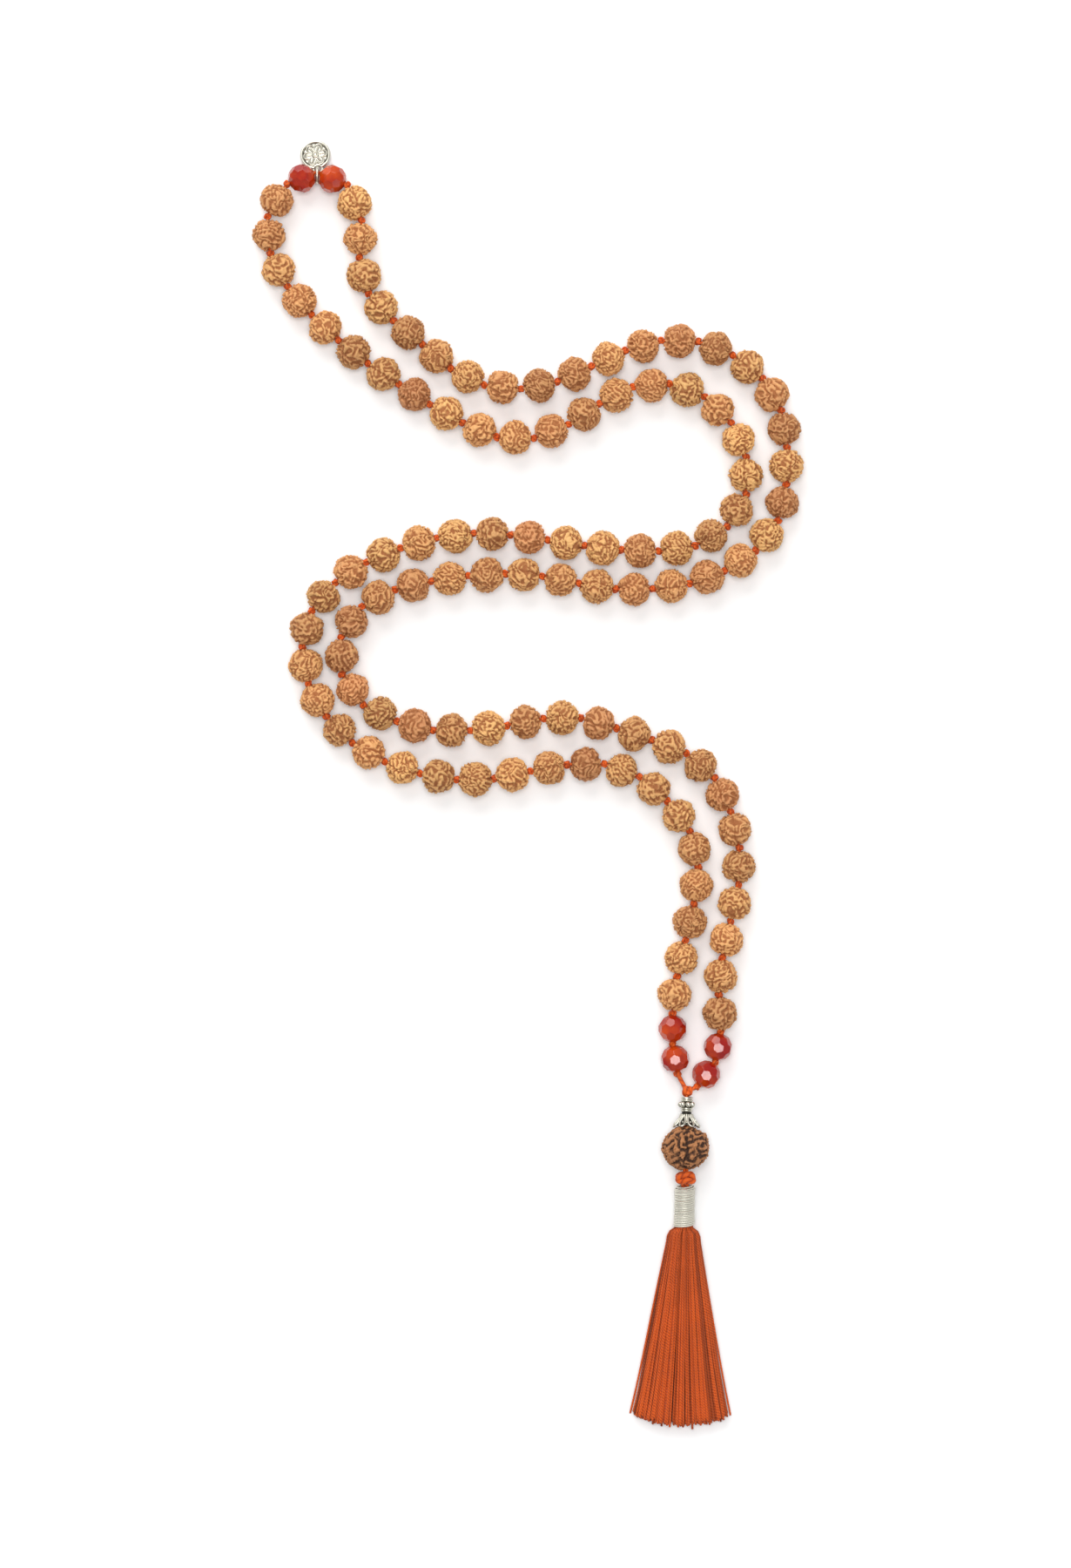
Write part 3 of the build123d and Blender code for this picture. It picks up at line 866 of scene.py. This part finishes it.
class MALA_OT_thread(bpy.types.Operator):
    """Make the stringing thread, a knot between every two beads, one piece for each section"""
    bl_idname = "mala.thread"
    bl_label = "Knotted Thread"

    def execute(self, context):
        settings = context.scene.mala
        s = settings.thread
        rng = np.random.default_rng(8)
        material = thread_cloth(s)
        shapes = {number: Shape() for number in SECTIONS}
        chains = {side: strand(side) for side in SIDES}
        apex = crossing(chains["left"][0], chains["right"][0])
        meet = np.array(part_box("junction_knot")).mean(0)
        tops = []
        for side in SIDES:
            chain = chains[side]
            knots = knots_between(chain, settings)
            number = SECTIONS[0]
            for k, bead in enumerate(chain):
                if not bead.stone:
                    number = bead.body[-2:]
                start = apex if k == 0 else knots[k - 1]
                if k == 0:
                    tops.append([knots[0], chain[0].middle])
                else:
                    line = np.linspace(start, knots[k], 34)
                    tube(shapes[number], line, s.thickness / 2, sides=9, plies=PLIES, twist=THREAD_TWIST)
                after = chain[k + 1].way if k + 1 < len(chain) else bead.way
                tie_knot(shapes[number], rng, knots[k], bead.way + after,
                         s.knot_width * rng.uniform(0.92, 1.08), KNOT_LENGTH, KNOT_STRAND)
            sag = (knots[-1] + meet) / 2 - UP * 0.25 * MM
            tube(shapes[SECTIONS[-1]], smooth_line([knots[-1], sag, meet], 20), s.thickness * 0.62,
                 sides=9, plies=PLIES, twist=THREAD_TWIST)
        over = [tops[0][0], tops[0][1], apex, tops[1][1], tops[1][0]]
        tube(shapes[SECTIONS[0]], smooth_line(over, 90), s.thickness / 2,
             sides=9, plies=PLIES, twist=THREAD_TWIST)
        for number, shape in shapes.items():
            piece = shape.piece(f"knots_{number}", material)
            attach(piece, f"section_{number}")
            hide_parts(f"thread_{number}")
        return {"FINISHED"}


def thread_cloth(s):
    found = bpy.data.materials.get("orange_thread")
    return found or spun_thread("orange_thread", s.colour, s.shade_colour, 2100.0)


class MALA_OT_pendant_cord(bpy.types.Operator):
    """Make the junction knot, the cord down through the guru bead, its stop knot and the tassel's loop"""
    bl_idname = "mala.pendant_cord"
    bl_label = "Pendant Cord"

    def execute(self, context):
        s = context.scene.mala.thread
        rng = np.random.default_rng(21)
        material = thread_cloth(s)
        meet = np.array(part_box("junction_knot")).mean(0)
        way = bore_of(node_points("guru_bead"))[1]
        way = way if way[1] < 0 else -way
        shape = Shape()
        tie_knot(shape, rng, meet, way, 2.5 * MM, 2.3 * MM, 1.05 * MM)
        self.finish(shape, material, "junction_tie", "junction", "junction_knot")
        reach = span_along(node_points("pendant_cord"), meet, way)[1]
        stop = meet + way * (reach - 1.5 * MM)
        shape = Shape()
        for side in (-1, 1):
            t = np.linspace(0, 1, 120)[:, None]
            spiral = frame_on(way)
            turn = 2 * math.pi * 5 * t + (0 if side < 0 else math.pi)
            off = np.cos(turn) * spiral[:, 0] + np.sin(turn) * spiral[:, 1]
            line = meet + (stop - meet) * t + 0.3 * MM * off
            tube(shape, line, 0.36 * MM, sides=9, plies=PLIES, twist=THREAD_TWIST)
        across = np.cross(way, UP)
        loops = [(-1.5, 0.2, 0.3), (-1.2, 0.9, 0.7), (0.1, 0.75, 0.8), (1.3, 0.2, 0.4), (1.5, -0.5, -0.2),
                 (0.7, -0.7, 0.35), (-0.4, -0.35, 0.85), (-1.3, -0.65, 0.3), (-1.65, -0.3, -0.35),
                 (-0.7, 0.55, -0.65), (0.6, 0.8, -0.35), (1.5, 0.35, -0.45), (1.1, -0.45, -0.7),
                 (-0.2, -0.5, -0.75), (-1.35, -0.45, -0.45)]
        line = [stop + (across * a - way * b + UP * c) * MM for a, b, c in loops]
        closed = smooth_line(line + [line[0]], 150)[:-1]
        tube(shape, closed, 0.62 * MM, sides=14, plies=PLIES, twist=LOOP_TWIST, closed=True)
        self.finish(shape, material, "stop_tie", "pendant", "pendant_cord")
        low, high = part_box("tassel_loop")
        eye = np.array([(low.x + high.x) / 2, low.y + 0.9 * MM, low.z + 0.9 * MM])
        shape = Shape()
        for side in (-1, 1):
            offset = across * side * 0.45 * MM
            start = stop - UP * 0.9 * MM + way * 1.0 * MM
            line = smooth_line([start + offset * 0.6, (start + eye) / 2 + offset, eye + offset * 0.6,
                                eye + way * 0.8 * MM + offset * 0.3], 30)
            tube(shape, line, 0.46 * MM, sides=10, plies=PLIES, twist=LOOP_TWIST)
        self.finish(shape, material, "tassel_link", "tassel_link", "tassel_loop")
        return {"FINISHED"}

    def finish(self, shape, material, name, body, replaced):
        piece = shape.piece(name, material)
        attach(piece, body)
        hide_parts(replaced)


# ---- silver ----------------------------------------------------------------------------------
def lathe(shape, profile, sides, place, turn, relief):
    """Turns a profile of (radius, height) about an axis; its hollows are dark where no relief is given."""
    profile = np.asarray(profile, float)
    angle = np.linspace(0, 2 * math.pi, sides, endpoint=False)
    r, z = profile[:, 0][:, None], profile[:, 1][:, None]
    points = np.stack([r * np.cos(angle), r * np.sin(angle), z + 0 * angle], -1).reshape(-1, 3)
    if relief is None:
        relief = np.clip((profile[:, 0] / MM - 1.06) / 0.14, 0, 1)
    levels = np.repeat(np.broadcast_to(relief, len(profile)), sides)
    shape.add(points @ turn.T + place, [grid_faces(len(profile), sides, True)], relief=levels)


def silver_wire(shape, line, radius, sides, relief, closed=False):
    """A round wire with the same rubbed look all along."""
    part = Shape()
    tube(part, line, radius, sides=sides, closed=closed)
    shape.add(part.points[0], part.faces, relief=np.full(len(part.points[0]), relief))


def rounded(profile, count):
    """A smooth closed outline through a few corners."""
    p = np.asarray(list(profile) + [profile[0]], float)
    line = smooth_line(np.column_stack([p, np.zeros(len(p))]), count)[:-1]
    return line[:, :2]


class MALA_OT_cap(bpy.types.Operator):
    """Make the silver cap: collar, ring of granules, neck rings and looped petals"""
    bl_idname = "mala.cap"
    bl_label = "Guru Cap"

    def execute(self, context):
        s = context.scene.mala.silver
        material = old_silver("cap_silver", s)
        middle, way = bore_of(node_points("guru_bead"))
        way = way if way[1] < 0 else -way
        turn = frame_on(way)
        low, high = span_along(node_points("guru_cap"), middle, way)
        base, length = middle + way * low, high - low
        shape = Shape()
        inner = 0.76
        collar = [(inner, 0.12), (1.1, 0.0), (1.26, 0.2), (1.26, 0.42), (1.12, 0.52), (1.2, 0.62),
                  (1.3, 0.78), (1.2, 0.95), (1.0, 1.05), (inner, 1.0)]
        neck_rings = [(inner, 0.9), (1.0, 1.1), (1.0, 2.1), (1.05, 2.2), (1.25, 2.35), (1.3, 2.5),
                      (1.15, 2.62), (1.08, 2.7), (1.2, 2.8), (1.26, 2.95), (1.12, 3.1), (1.0, 3.3),
                      (1.05, 3.6), (inner, 3.7)]
        lathe(shape, rounded(collar, 60) * MM, 48, base, turn, None)
        lathe(shape, rounded(neck_rings, 90) * MM, 48, base, turn, None)
        for k in range(s.granules):
            a = 2 * math.pi * k / s.granules
            place = base + turn @ (np.array([1.36 * math.cos(a), 1.36 * math.sin(a), 1.62]) * MM)
            f = np.linspace(0.02, math.pi - 0.02, 12)
            ball = np.column_stack([np.sin(f), np.cos(f)]) * 0.58 * MM
            lathe(shape, ball, 18, place, turn, 0.95)
        neck, lip = 3.3, length / MM
        cone = [(0.95, neck), (1.3, neck + 0.55), (1.9, lip - 1.3), (2.55, lip - 0.55), (2.75, lip - 0.3),
                (2.6, lip - 0.3), (2.2, lip - 0.72), (1.65, lip - 1.2), (1.0, lip - 1.5), (inner, neck + 0.3)]
        # The skirt under the petals is mostly blackened: a dark sheet of painted shade showing through the
        # eyes of the looped petals.
        lathe(shape, np.array(cone) * MM, 64, base, turn, 0.12)
        for k in range(s.petals):
            a = 2 * math.pi * (k + 0.5) / s.petals
            self.petal(shape, base, turn, a, neck, lip)
            b = a + math.pi / s.petals
            foot = [(1.18, neck + 0.35), (1.75, lip - 1.35), (2.3, lip - 0.8)]
            line = [base + turn @ (np.array([r * math.cos(b), r * math.sin(b), z]) * MM) for r, z in foot]
            silver_wire(shape, smooth_line(line, 14), 0.2 * MM, 10, 0.9)
        piece = shape.piece("cap", material)
        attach(piece, "cap")
        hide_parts("guru_cap")
        return {"FINISHED"}

    def petal(self, shape, base, turn, a, neck, lip):
        """A drop-shaped loop of wire lying on the cap's skirt, with a small ball in its eye."""
        t = np.linspace(0, 2 * math.pi, 36, endpoint=False)
        along = 0.5 - 0.5 * np.cos(t)
        width = 0.78 * np.sin(t) * np.sin(t / 2) ** 1.2
        r = 1.2 + 1.75 * along ** 1.25
        z = neck + 0.5 + (lip - neck - 0.62) * along
        swing = a + width / np.maximum(r, 0.8)
        line = np.column_stack([r * np.cos(swing), r * np.sin(swing), z]) * MM
        silver_wire(shape, line @ turn.T + base, 0.22 * MM, 10, 0.9, closed=True)
        r0, z0 = 2.1, lip - 1.02
        place = base + turn @ (np.array([r0 * math.cos(a), r0 * math.sin(a), z0]) * MM)
        f = np.linspace(0.03, math.pi - 0.03, 9)
        lathe(shape, np.column_stack([np.sin(f), np.cos(f)]) * 0.24 * MM, 12, place, turn, 0.5)


class MALA_OT_charm(bpy.types.Operator):
    """Make the charm: a jump ring, and a disc with a raised rim and a petal rosette"""
    bl_idname = "mala.charm"
    bl_label = "Charm"

    def execute(self, context):
        s = context.scene.mala.silver
        material = old_silver("charm_silver", s)
        self.ring(material)
        self.disc(material, s)
        return {"FINISHED"}

    def ring(self, material):
        points = node_points("charm_ring")
        middle = (points.min(0) + points.max(0)) / 2
        normal = np.linalg.svd(points - points.mean(0), full_matrices=False)[2][2]
        turn = frame_on(normal)
        reach = np.linalg.norm(points - middle, axis=1)
        radius, wire = (reach.max() + reach.min()) / 2, (reach.max() - reach.min()) / 2
        gap = 0.05
        a = np.linspace(gap, 2 * math.pi - gap, 72) + math.pi * 0.62
        line = middle + np.column_stack([radius * np.cos(a), radius * np.sin(a), 0 * a]) @ turn.T
        shape = Shape()
        silver_wire(shape, line, wire * 0.98, 16, 0.8)
        piece = shape.piece("jump_ring", material)
        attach(piece, "charm_ring")
        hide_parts("charm_ring")

    def disc(self, material, s):
        """Stands for the CAD disc in its own plane, its hole where the jump ring runs."""
        points = node_points("charm_disc")
        ring = np.array(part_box("charm_ring")).mean(0)
        normal = self.face_normal()
        way = points.mean(0) - ring
        for _ in range(2):
            way = way - normal * (way @ normal)
            way /= np.linalg.norm(way)
            side = np.cross(normal, way)
            turn = np.column_stack([way, side, normal])
            local = points @ turn
            low, high = local.min(0), local.max(0)
            radius, half = (high[1] - low[1]) / 2, (high[2] - low[2]) / 2
            centre = np.array([high[0] - radius, (high[1] + low[1]) / 2, (high[2] + low[2]) / 2])
            tip = local[np.argmax(np.linalg.norm(local - centre, axis=1))]
            way = turn @ (centre - tip)
        lug = np.array([low[0] + 1.15 * MM, centre[1], centre[2]])
        body = self.blank(radius, half, s)
        body.points = [(p + centre) @ turn.T for p in body.points]
        piece = body.piece("charm_medal", material)
        self.open_hole(piece, turn @ lug, normal)
        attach(piece, "charm_disc")
        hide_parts("charm_disc")
        shape = Shape()
        a = np.linspace(0, 2 * math.pi, 40, endpoint=False)
        eye = np.column_stack([np.cos(a), np.sin(a), 0 * a]) * 0.92 * MM
        silver_wire(shape, (eye + lug) @ turn.T, 0.24 * MM, 12, 0.8, closed=True)
        eyelet = shape.piece("charm_eyelet", material)
        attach(eyelet, "charm_disc")

    def face_normal(self):
        mesh = frame["nodes"]["charm_disc"].data
        largest = max((p for p in mesh.polygons if p.normal.z > 0.8), key=lambda p: p.area)
        return np.array(largest.normal)

    def blank(self, radius, half, s):
        """The disc's closed skin: domed edge, raised rim, and the rosette on a stippled field."""
        columns = 168
        out = np.concatenate([np.linspace(0.02, 0.80, 44), [0.83, 0.86, 0.9, 0.94, 0.97, 0.99, 1.0]])
        a = np.linspace(0, 2 * math.pi, columns, endpoint=False)
        r, t = np.meshgrid(out, a, indexing="ij")
        k = s.rosette_petals
        petal = (t * k / (2 * math.pi)) % 1.0 - 0.5
        reach = r / 0.80
        edge = 0.34 + 0.60 * np.sqrt(np.clip(1 - (2 * petal) ** 2, 0, 1))
        outline = np.exp(-((reach - edge) / 0.075) ** 2) * (np.abs(petal) < 0.47)
        spine = np.exp(-((petal * reach * 2.2) / 0.13) ** 2) * (reach < 0.72) * (reach > 0.3)
        heart = np.exp(-((reach - 0.20) / 0.07) ** 2) + (reach < 0.09)
        relief = np.clip(outline + 0.8 * spine + heart, 0, 1)
        rim = np.clip((r - 0.815) / 0.05, 0, 1)
        dome = np.clip((r - 0.93) / 0.07, 0, 1) ** 2
        top = -0.30 * MM * (1 - rim) + relief * 0.24 * MM * (1 - rim) - dome * half * 0.75 + half
        beside = np.exp(-((reach - edge) / 0.16) ** 2) + np.exp(-((r - 0.79) / 0.035) ** 2)
        level = np.clip(0.5 - 0.5 * beside + relief * 1.3 + rim, 0, 1)
        upper = np.stack([r * radius * np.cos(t), r * radius * np.sin(t), top], -1)
        under = np.concatenate([[1.0, 0.985, 0.95], np.linspace(0.9, 0.02, 12)])
        r2, t2 = np.meshgrid(under, a, indexing="ij")
        floor = -half + np.clip((r2 - 0.93) / 0.07, 0, 1) ** 2 * half * 0.75
        lower = np.stack([r2 * radius * np.cos(t2), r2 * radius * np.sin(t2), floor], -1)
        rows = len(out) + len(under)
        shape = Shape()
        shape.add(np.vstack([upper.reshape(-1, 3), lower.reshape(-1, 3)]),
                  [grid_faces(rows, columns), np.arange(columns)[::-1][None, :],
                   ((rows - 1) * columns + np.arange(columns))[None, :]],
                  relief=np.concatenate([level.ravel(), np.full(lower[..., 0].size, 0.7)]))
        return shape

    def open_hole(self, piece, place, normal):
        """Cuts the disc's edge away inside the eyelet."""
        bm = bmesh.new()
        radius = 0.82 * MM
        bmesh.ops.create_cone(bm, cap_ends=True, segments=40, radius1=radius, radius2=radius, depth=4 * MM)
        mesh = bpy.data.meshes.new("punch")
        bm.to_mesh(mesh)
        bm.free()
        turn = Matrix(frame_on(normal).tolist()).to_4x4()
        mesh.transform(Matrix.Translation(Vector(place)) @ turn)
        old, piece.data = piece.data, less_tool(piece, mesh)
        bpy.data.meshes.remove(old)


# ---- tassel ----------------------------------------------------------------------------------
def wrap_axis():
    """The wrap's start, its direction, its length and its radius."""
    points = node_points("tassel_wrap")
    middle = (points.min(0) + points.max(0)) / 2
    way = np.linalg.svd(points - points.mean(0), full_matrices=False)[2][0]
    way = way if way[1] < 0 else -way
    low, high = span_along(points, middle, way)
    out = points - middle - np.outer((points - middle) @ way, way)
    return middle + way * low, way, high - low, np.linalg.norm(out, axis=1).max()


class MALA_OT_wrap(bpy.types.Operator):
    """Make the silvery winding round the tassel's head"""
    bl_idname = "mala.wrap"
    bl_label = "Tassel Winding"

    def execute(self, context):
        s = context.scene.mala.tassel
        rng = np.random.default_rng(4)
        shade = tuple(0.5 * c for c in s.winding_colour)
        # With no twist, the thread's painted shade runs along each strand, darker on two opposite sides of
        # it.
        material = spun_thread("silver_winding", s.winding_colour, shade, 0.0, 0.42)
        material.node_tree.nodes["Principled BSDF"].inputs["Metallic"].default_value = 0.35
        start, way, length, radius = wrap_axis()
        shoulder = 0.6 * MM
        start, length = start - way * shoulder, length + shoulder
        turns = int(length / (s.winding * 1.05))
        steps = turns * 44
        t = np.linspace(0, 1, steps)
        angle = t * turns * 2 * math.pi
        loose = np.interp(t * turns, np.arange(turns + 1), rng.normal(0, 0.035 * MM, turns + 1))
        slip = np.interp(t * turns, np.arange(turns + 1), rng.normal(0, 0.03 * MM, turns + 1))
        drawn_in = np.clip(1 - t * length / (2 * shoulder), 0, 1) ** 2
        out = radius - s.winding * 0.55 + loose - 0.10 * MM * np.sin(math.pi * t) ** 2 - 0.8 * MM * drawn_in
        slant = 0.16 * MM * np.cos(angle)
        turn = frame_on(way)
        local = np.column_stack([out * np.cos(angle), out * np.sin(angle),
                                 s.winding * 0.6 + t * (length - s.winding * 1.2) + slip + slant])
        shape = Shape()
        tube(shape, start + local @ turn.T, s.winding / 2, sides=8)
        piece = shape.piece("winding", material)
        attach(piece, "tassel")
        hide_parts("tassel_wrap")
        return {"FINISHED"}


class MALA_OT_tassel(bpy.types.Operator):
    """Make the fan of tassel threads, from inside the winding to their ragged ends"""
    bl_idname = "mala.tassel"
    bl_label = "Tassel Threads"

    def execute(self, context):
        settings = context.scene.mala
        s = settings.tassel
        rng = np.random.default_rng(17)
        material = spun_thread("tassel_thread", settings.thread.colour, settings.thread.shade_colour,
                               5200.0, 0.68, layer_shade=True)
        start, way, length, radius = wrap_axis()
        head = radius - s.winding * 1.05
        points = node_points("tassel_threads")
        end = points[points[:, 1] < points[:, 1].min() + 1.0 * MM]
        foot = (end.min(0) + end.max(0)) / 2
        width, thickness = np.ptp(end[:, 0]) / 2, np.ptp(end[:, 2]) / 2
        neck = start + way * length
        forward = np.array([foot[0] - neck[0], foot[1] - neck[1], 0.0])
        span = np.linalg.norm(forward)
        forward /= span
        across = np.cross(forward, UP)
        shape = Shape()
        golden = math.pi * (3 - math.sqrt(5))
        for k in range(s.threads):
            reach = math.sqrt((k + 0.5) / s.threads)
            a = k * golden + rng.normal(0, 0.12)
            u, v = reach * math.cos(a), reach * math.sin(a)
            spread = np.sign(u) * abs(u) ** 0.94 + rng.normal(0, 0.015)
            line = self.hang(rng, s, start, way, length, head, neck, forward, across, span, width,
                             thickness, u, v, spread)
            count = len(line)
            thick = s.thickness / 2 * np.interp(np.arange(count), [0, 8, 20, count], [0.55, 0.55, 0.9, 1.0])
            line[:, 2] = np.maximum(line[:, 2], 1.1 * thick)
            tube(shape, line, thick * rng.uniform(0.9, 1.1), sides=7, start=rng.uniform(0, 0.01))
            # The tone is painted shade, darker for threads lower in the fan, with a random spread for each
            # thread.
            tone = np.clip(0.6 + 0.35 * v + rng.normal(0, 0.27), 0, 1)
            shape.values.setdefault("tone", []).append(np.full(len(shape.points[-1]), tone))
        piece = shape.piece("skirt", material)
        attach(piece, "tassel")
        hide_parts("tassel_threads")
        return {"FINISHED"}

    def hang(self, rng, s, start, way, length, head, neck, forward, across, span, width,
             thickness, u, v, spread):
        """One thread: straight through the head, then out and down to the floor."""
        lift = np.cross(across, way)
        inside = [start + way * (length * share) + head * 0.9 * (u * across + v * lift)
                  for share in (0.16, 0.6, 1.0)]
        t = np.array([0.035, 0.09, 0.18, 0.32, 0.5, 0.7, 0.86, 1.0])
        reach = span + rng.normal(0, 1) * s.ragged - abs(spread) ** 2 * 2.0 * MM
        half = 3.0 * MM + (width - 3.0 * MM) * t + 0.4 * MM * t ** 6
        deep = 2.0 * MM + (thickness - 2.0 * MM) * t ** 0.7
        sway = rng.normal(0, 0.22 * MM) * np.sin(math.pi * t * rng.uniform(0.7, 1.6) + rng.uniform(0, 3)) * t
        level = neck[2] * (1 - t) ** 3 + (deep + 0.05 * MM) * (1 - (1 - t) ** 3)
        outer = [
            np.array([neck[0], neck[1], 0]) + forward * (reach * share) + across * (spread * w + wave)
            + UP * (z + v * d + rng.normal(0, 0.04 * MM))
            for share, w, d, z, wave in zip(t, half, deep, level, sway)
        ]
        return smooth_line(inside + outer, 40)


# ---- stage -----------------------------------------------------------------------------------
class MALA_OT_stage(bpy.types.Operator):
    """Make the floor, the soft lights and the camera that looks straight down"""
    bl_idname = "mala.stage"
    bl_label = "Stage"

    def execute(self, context):
        s = context.scene.mala.stage
        low, high = (Vector(v) for v in cad_box)
        middle = (low + high) / 2
        floor_shape = Shape()
        floor_reach = 3.0
        corner = np.array([[-1, -1, 0], [1, -1, 0], [1, 1, 0], [-1, 1, 0]]) * floor_reach
        floor_shape.add(corner, [np.array([[0, 1, 2, 3]])])
        floor = floor_shape.piece("floor", pale_floor(s))
        self.light("overhead", (0.0, 0.08, 1.4), 0.7, s.light * 1.1, middle)
        self.light("window", (-0.35, 1.25, 1.0), 1.4, s.light * 1.6, middle)
        self.light("reflector", (1.1, -0.8, 0.9), 1.2, s.light * 0.25, middle)
        world = bpy.data.worlds.new("studio")
        world.use_nodes = True
        shade = world.node_tree.nodes["Background"]
        shade.inputs["Color"].default_value = (1.0, 1.0, 1.0, 1.0)
        shade.inputs["Strength"].default_value = 0.38
        context.scene.world = world
        context.scene.view_settings.view_transform = "Standard"
        camera = bpy.data.cameras.new("camera")
        camera.sensor_fit = "VERTICAL"
        camera.sensor_height = SENSOR
        camera.lens = SENSOR * s.view_height / s.view_length
        camera.clip_start, camera.clip_end = 0.05, 20.0
        view = bpy.data.objects.new("camera", camera)
        aside, below = 0.00167, 0.00028  # from the middle of the mala to the middle of the view
        view.location = (middle.x + aside, middle.y - below, s.view_height)
        context.scene.collection.objects.link(view)
        context.scene.camera = view
        return {"FINISHED"}

    def light(self, name, place, size, power, target):
        lamp = bpy.data.lights.new(name, "AREA")
        lamp.shape, lamp.size, lamp.energy = "DISK", size, power
        made = bpy.data.objects.new(name, lamp)
        made.location = place
        made.rotation_euler = (target - Vector(place)).to_track_quat("-Z", "Y").to_euler()
        bpy.context.scene.collection.objects.link(made)


# ---- the add-on ------------------------------------------------------------------------------
class MalaSettings(bpy.types.PropertyGroup):
    seed: PointerProperty(type=SeedSettings)
    guru: PointerProperty(type=GuruSettings)
    stone: PointerProperty(type=StoneSettings)
    thread: PointerProperty(type=ThreadSettings)
    silver: PointerProperty(type=SilverSettings)
    tassel: PointerProperty(type=TasselSettings)
    stage: PointerProperty(type=StageSettings)


OPERATORS = (MALA_OT_stage, MALA_OT_seeds, MALA_OT_guru, MALA_OT_stones, MALA_OT_thread,
             MALA_OT_pendant_cord, MALA_OT_charm, MALA_OT_cap, MALA_OT_wrap, MALA_OT_tassel)
SETTINGS = (SeedSettings, GuruSettings, StoneSettings, ThreadSettings, SilverSettings, TasselSettings,
            StageSettings, MalaSettings)


class MALA_PT_panel(bpy.types.Panel):
    """Lists the pieces of the mala"""
    bl_idname = "MALA_PT_panel"
    bl_label = "Knotted Mala"
    bl_space_type = "VIEW_3D"
    bl_region_type = "UI"
    bl_category = "Mala"

    def draw(self, context):
        for operator in OPERATORS:
            self.layout.operator(operator.bl_idname)
        for group in ("seed", "guru", "stone", "thread", "silver", "tassel", "stage"):
            box = self.layout.box()
            settings = getattr(context.scene.mala, group)
            for key in settings.__annotations__:
                box.prop(settings, key)


def register():
    for cls in SETTINGS + OPERATORS + (MALA_PT_panel,):
        bpy.utils.register_class(cls)
    bpy.types.Scene.mala = PointerProperty(type=MalaSettings)


def unregister():
    del bpy.types.Scene.mala
    for cls in reversed(SETTINGS + OPERATORS + (MALA_PT_panel,)):
        bpy.utils.unregister_class(cls)


def main():
    register()
    for make in (bpy.ops.mala.stage, bpy.ops.mala.seeds, bpy.ops.mala.guru, bpy.ops.mala.stones,
                 bpy.ops.mala.thread, bpy.ops.mala.pendant_cord, bpy.ops.mala.charm, bpy.ops.mala.cap,
                 bpy.ops.mala.wrap, bpy.ops.mala.tassel):
        make()


if __name__ == "__main__":
    main()
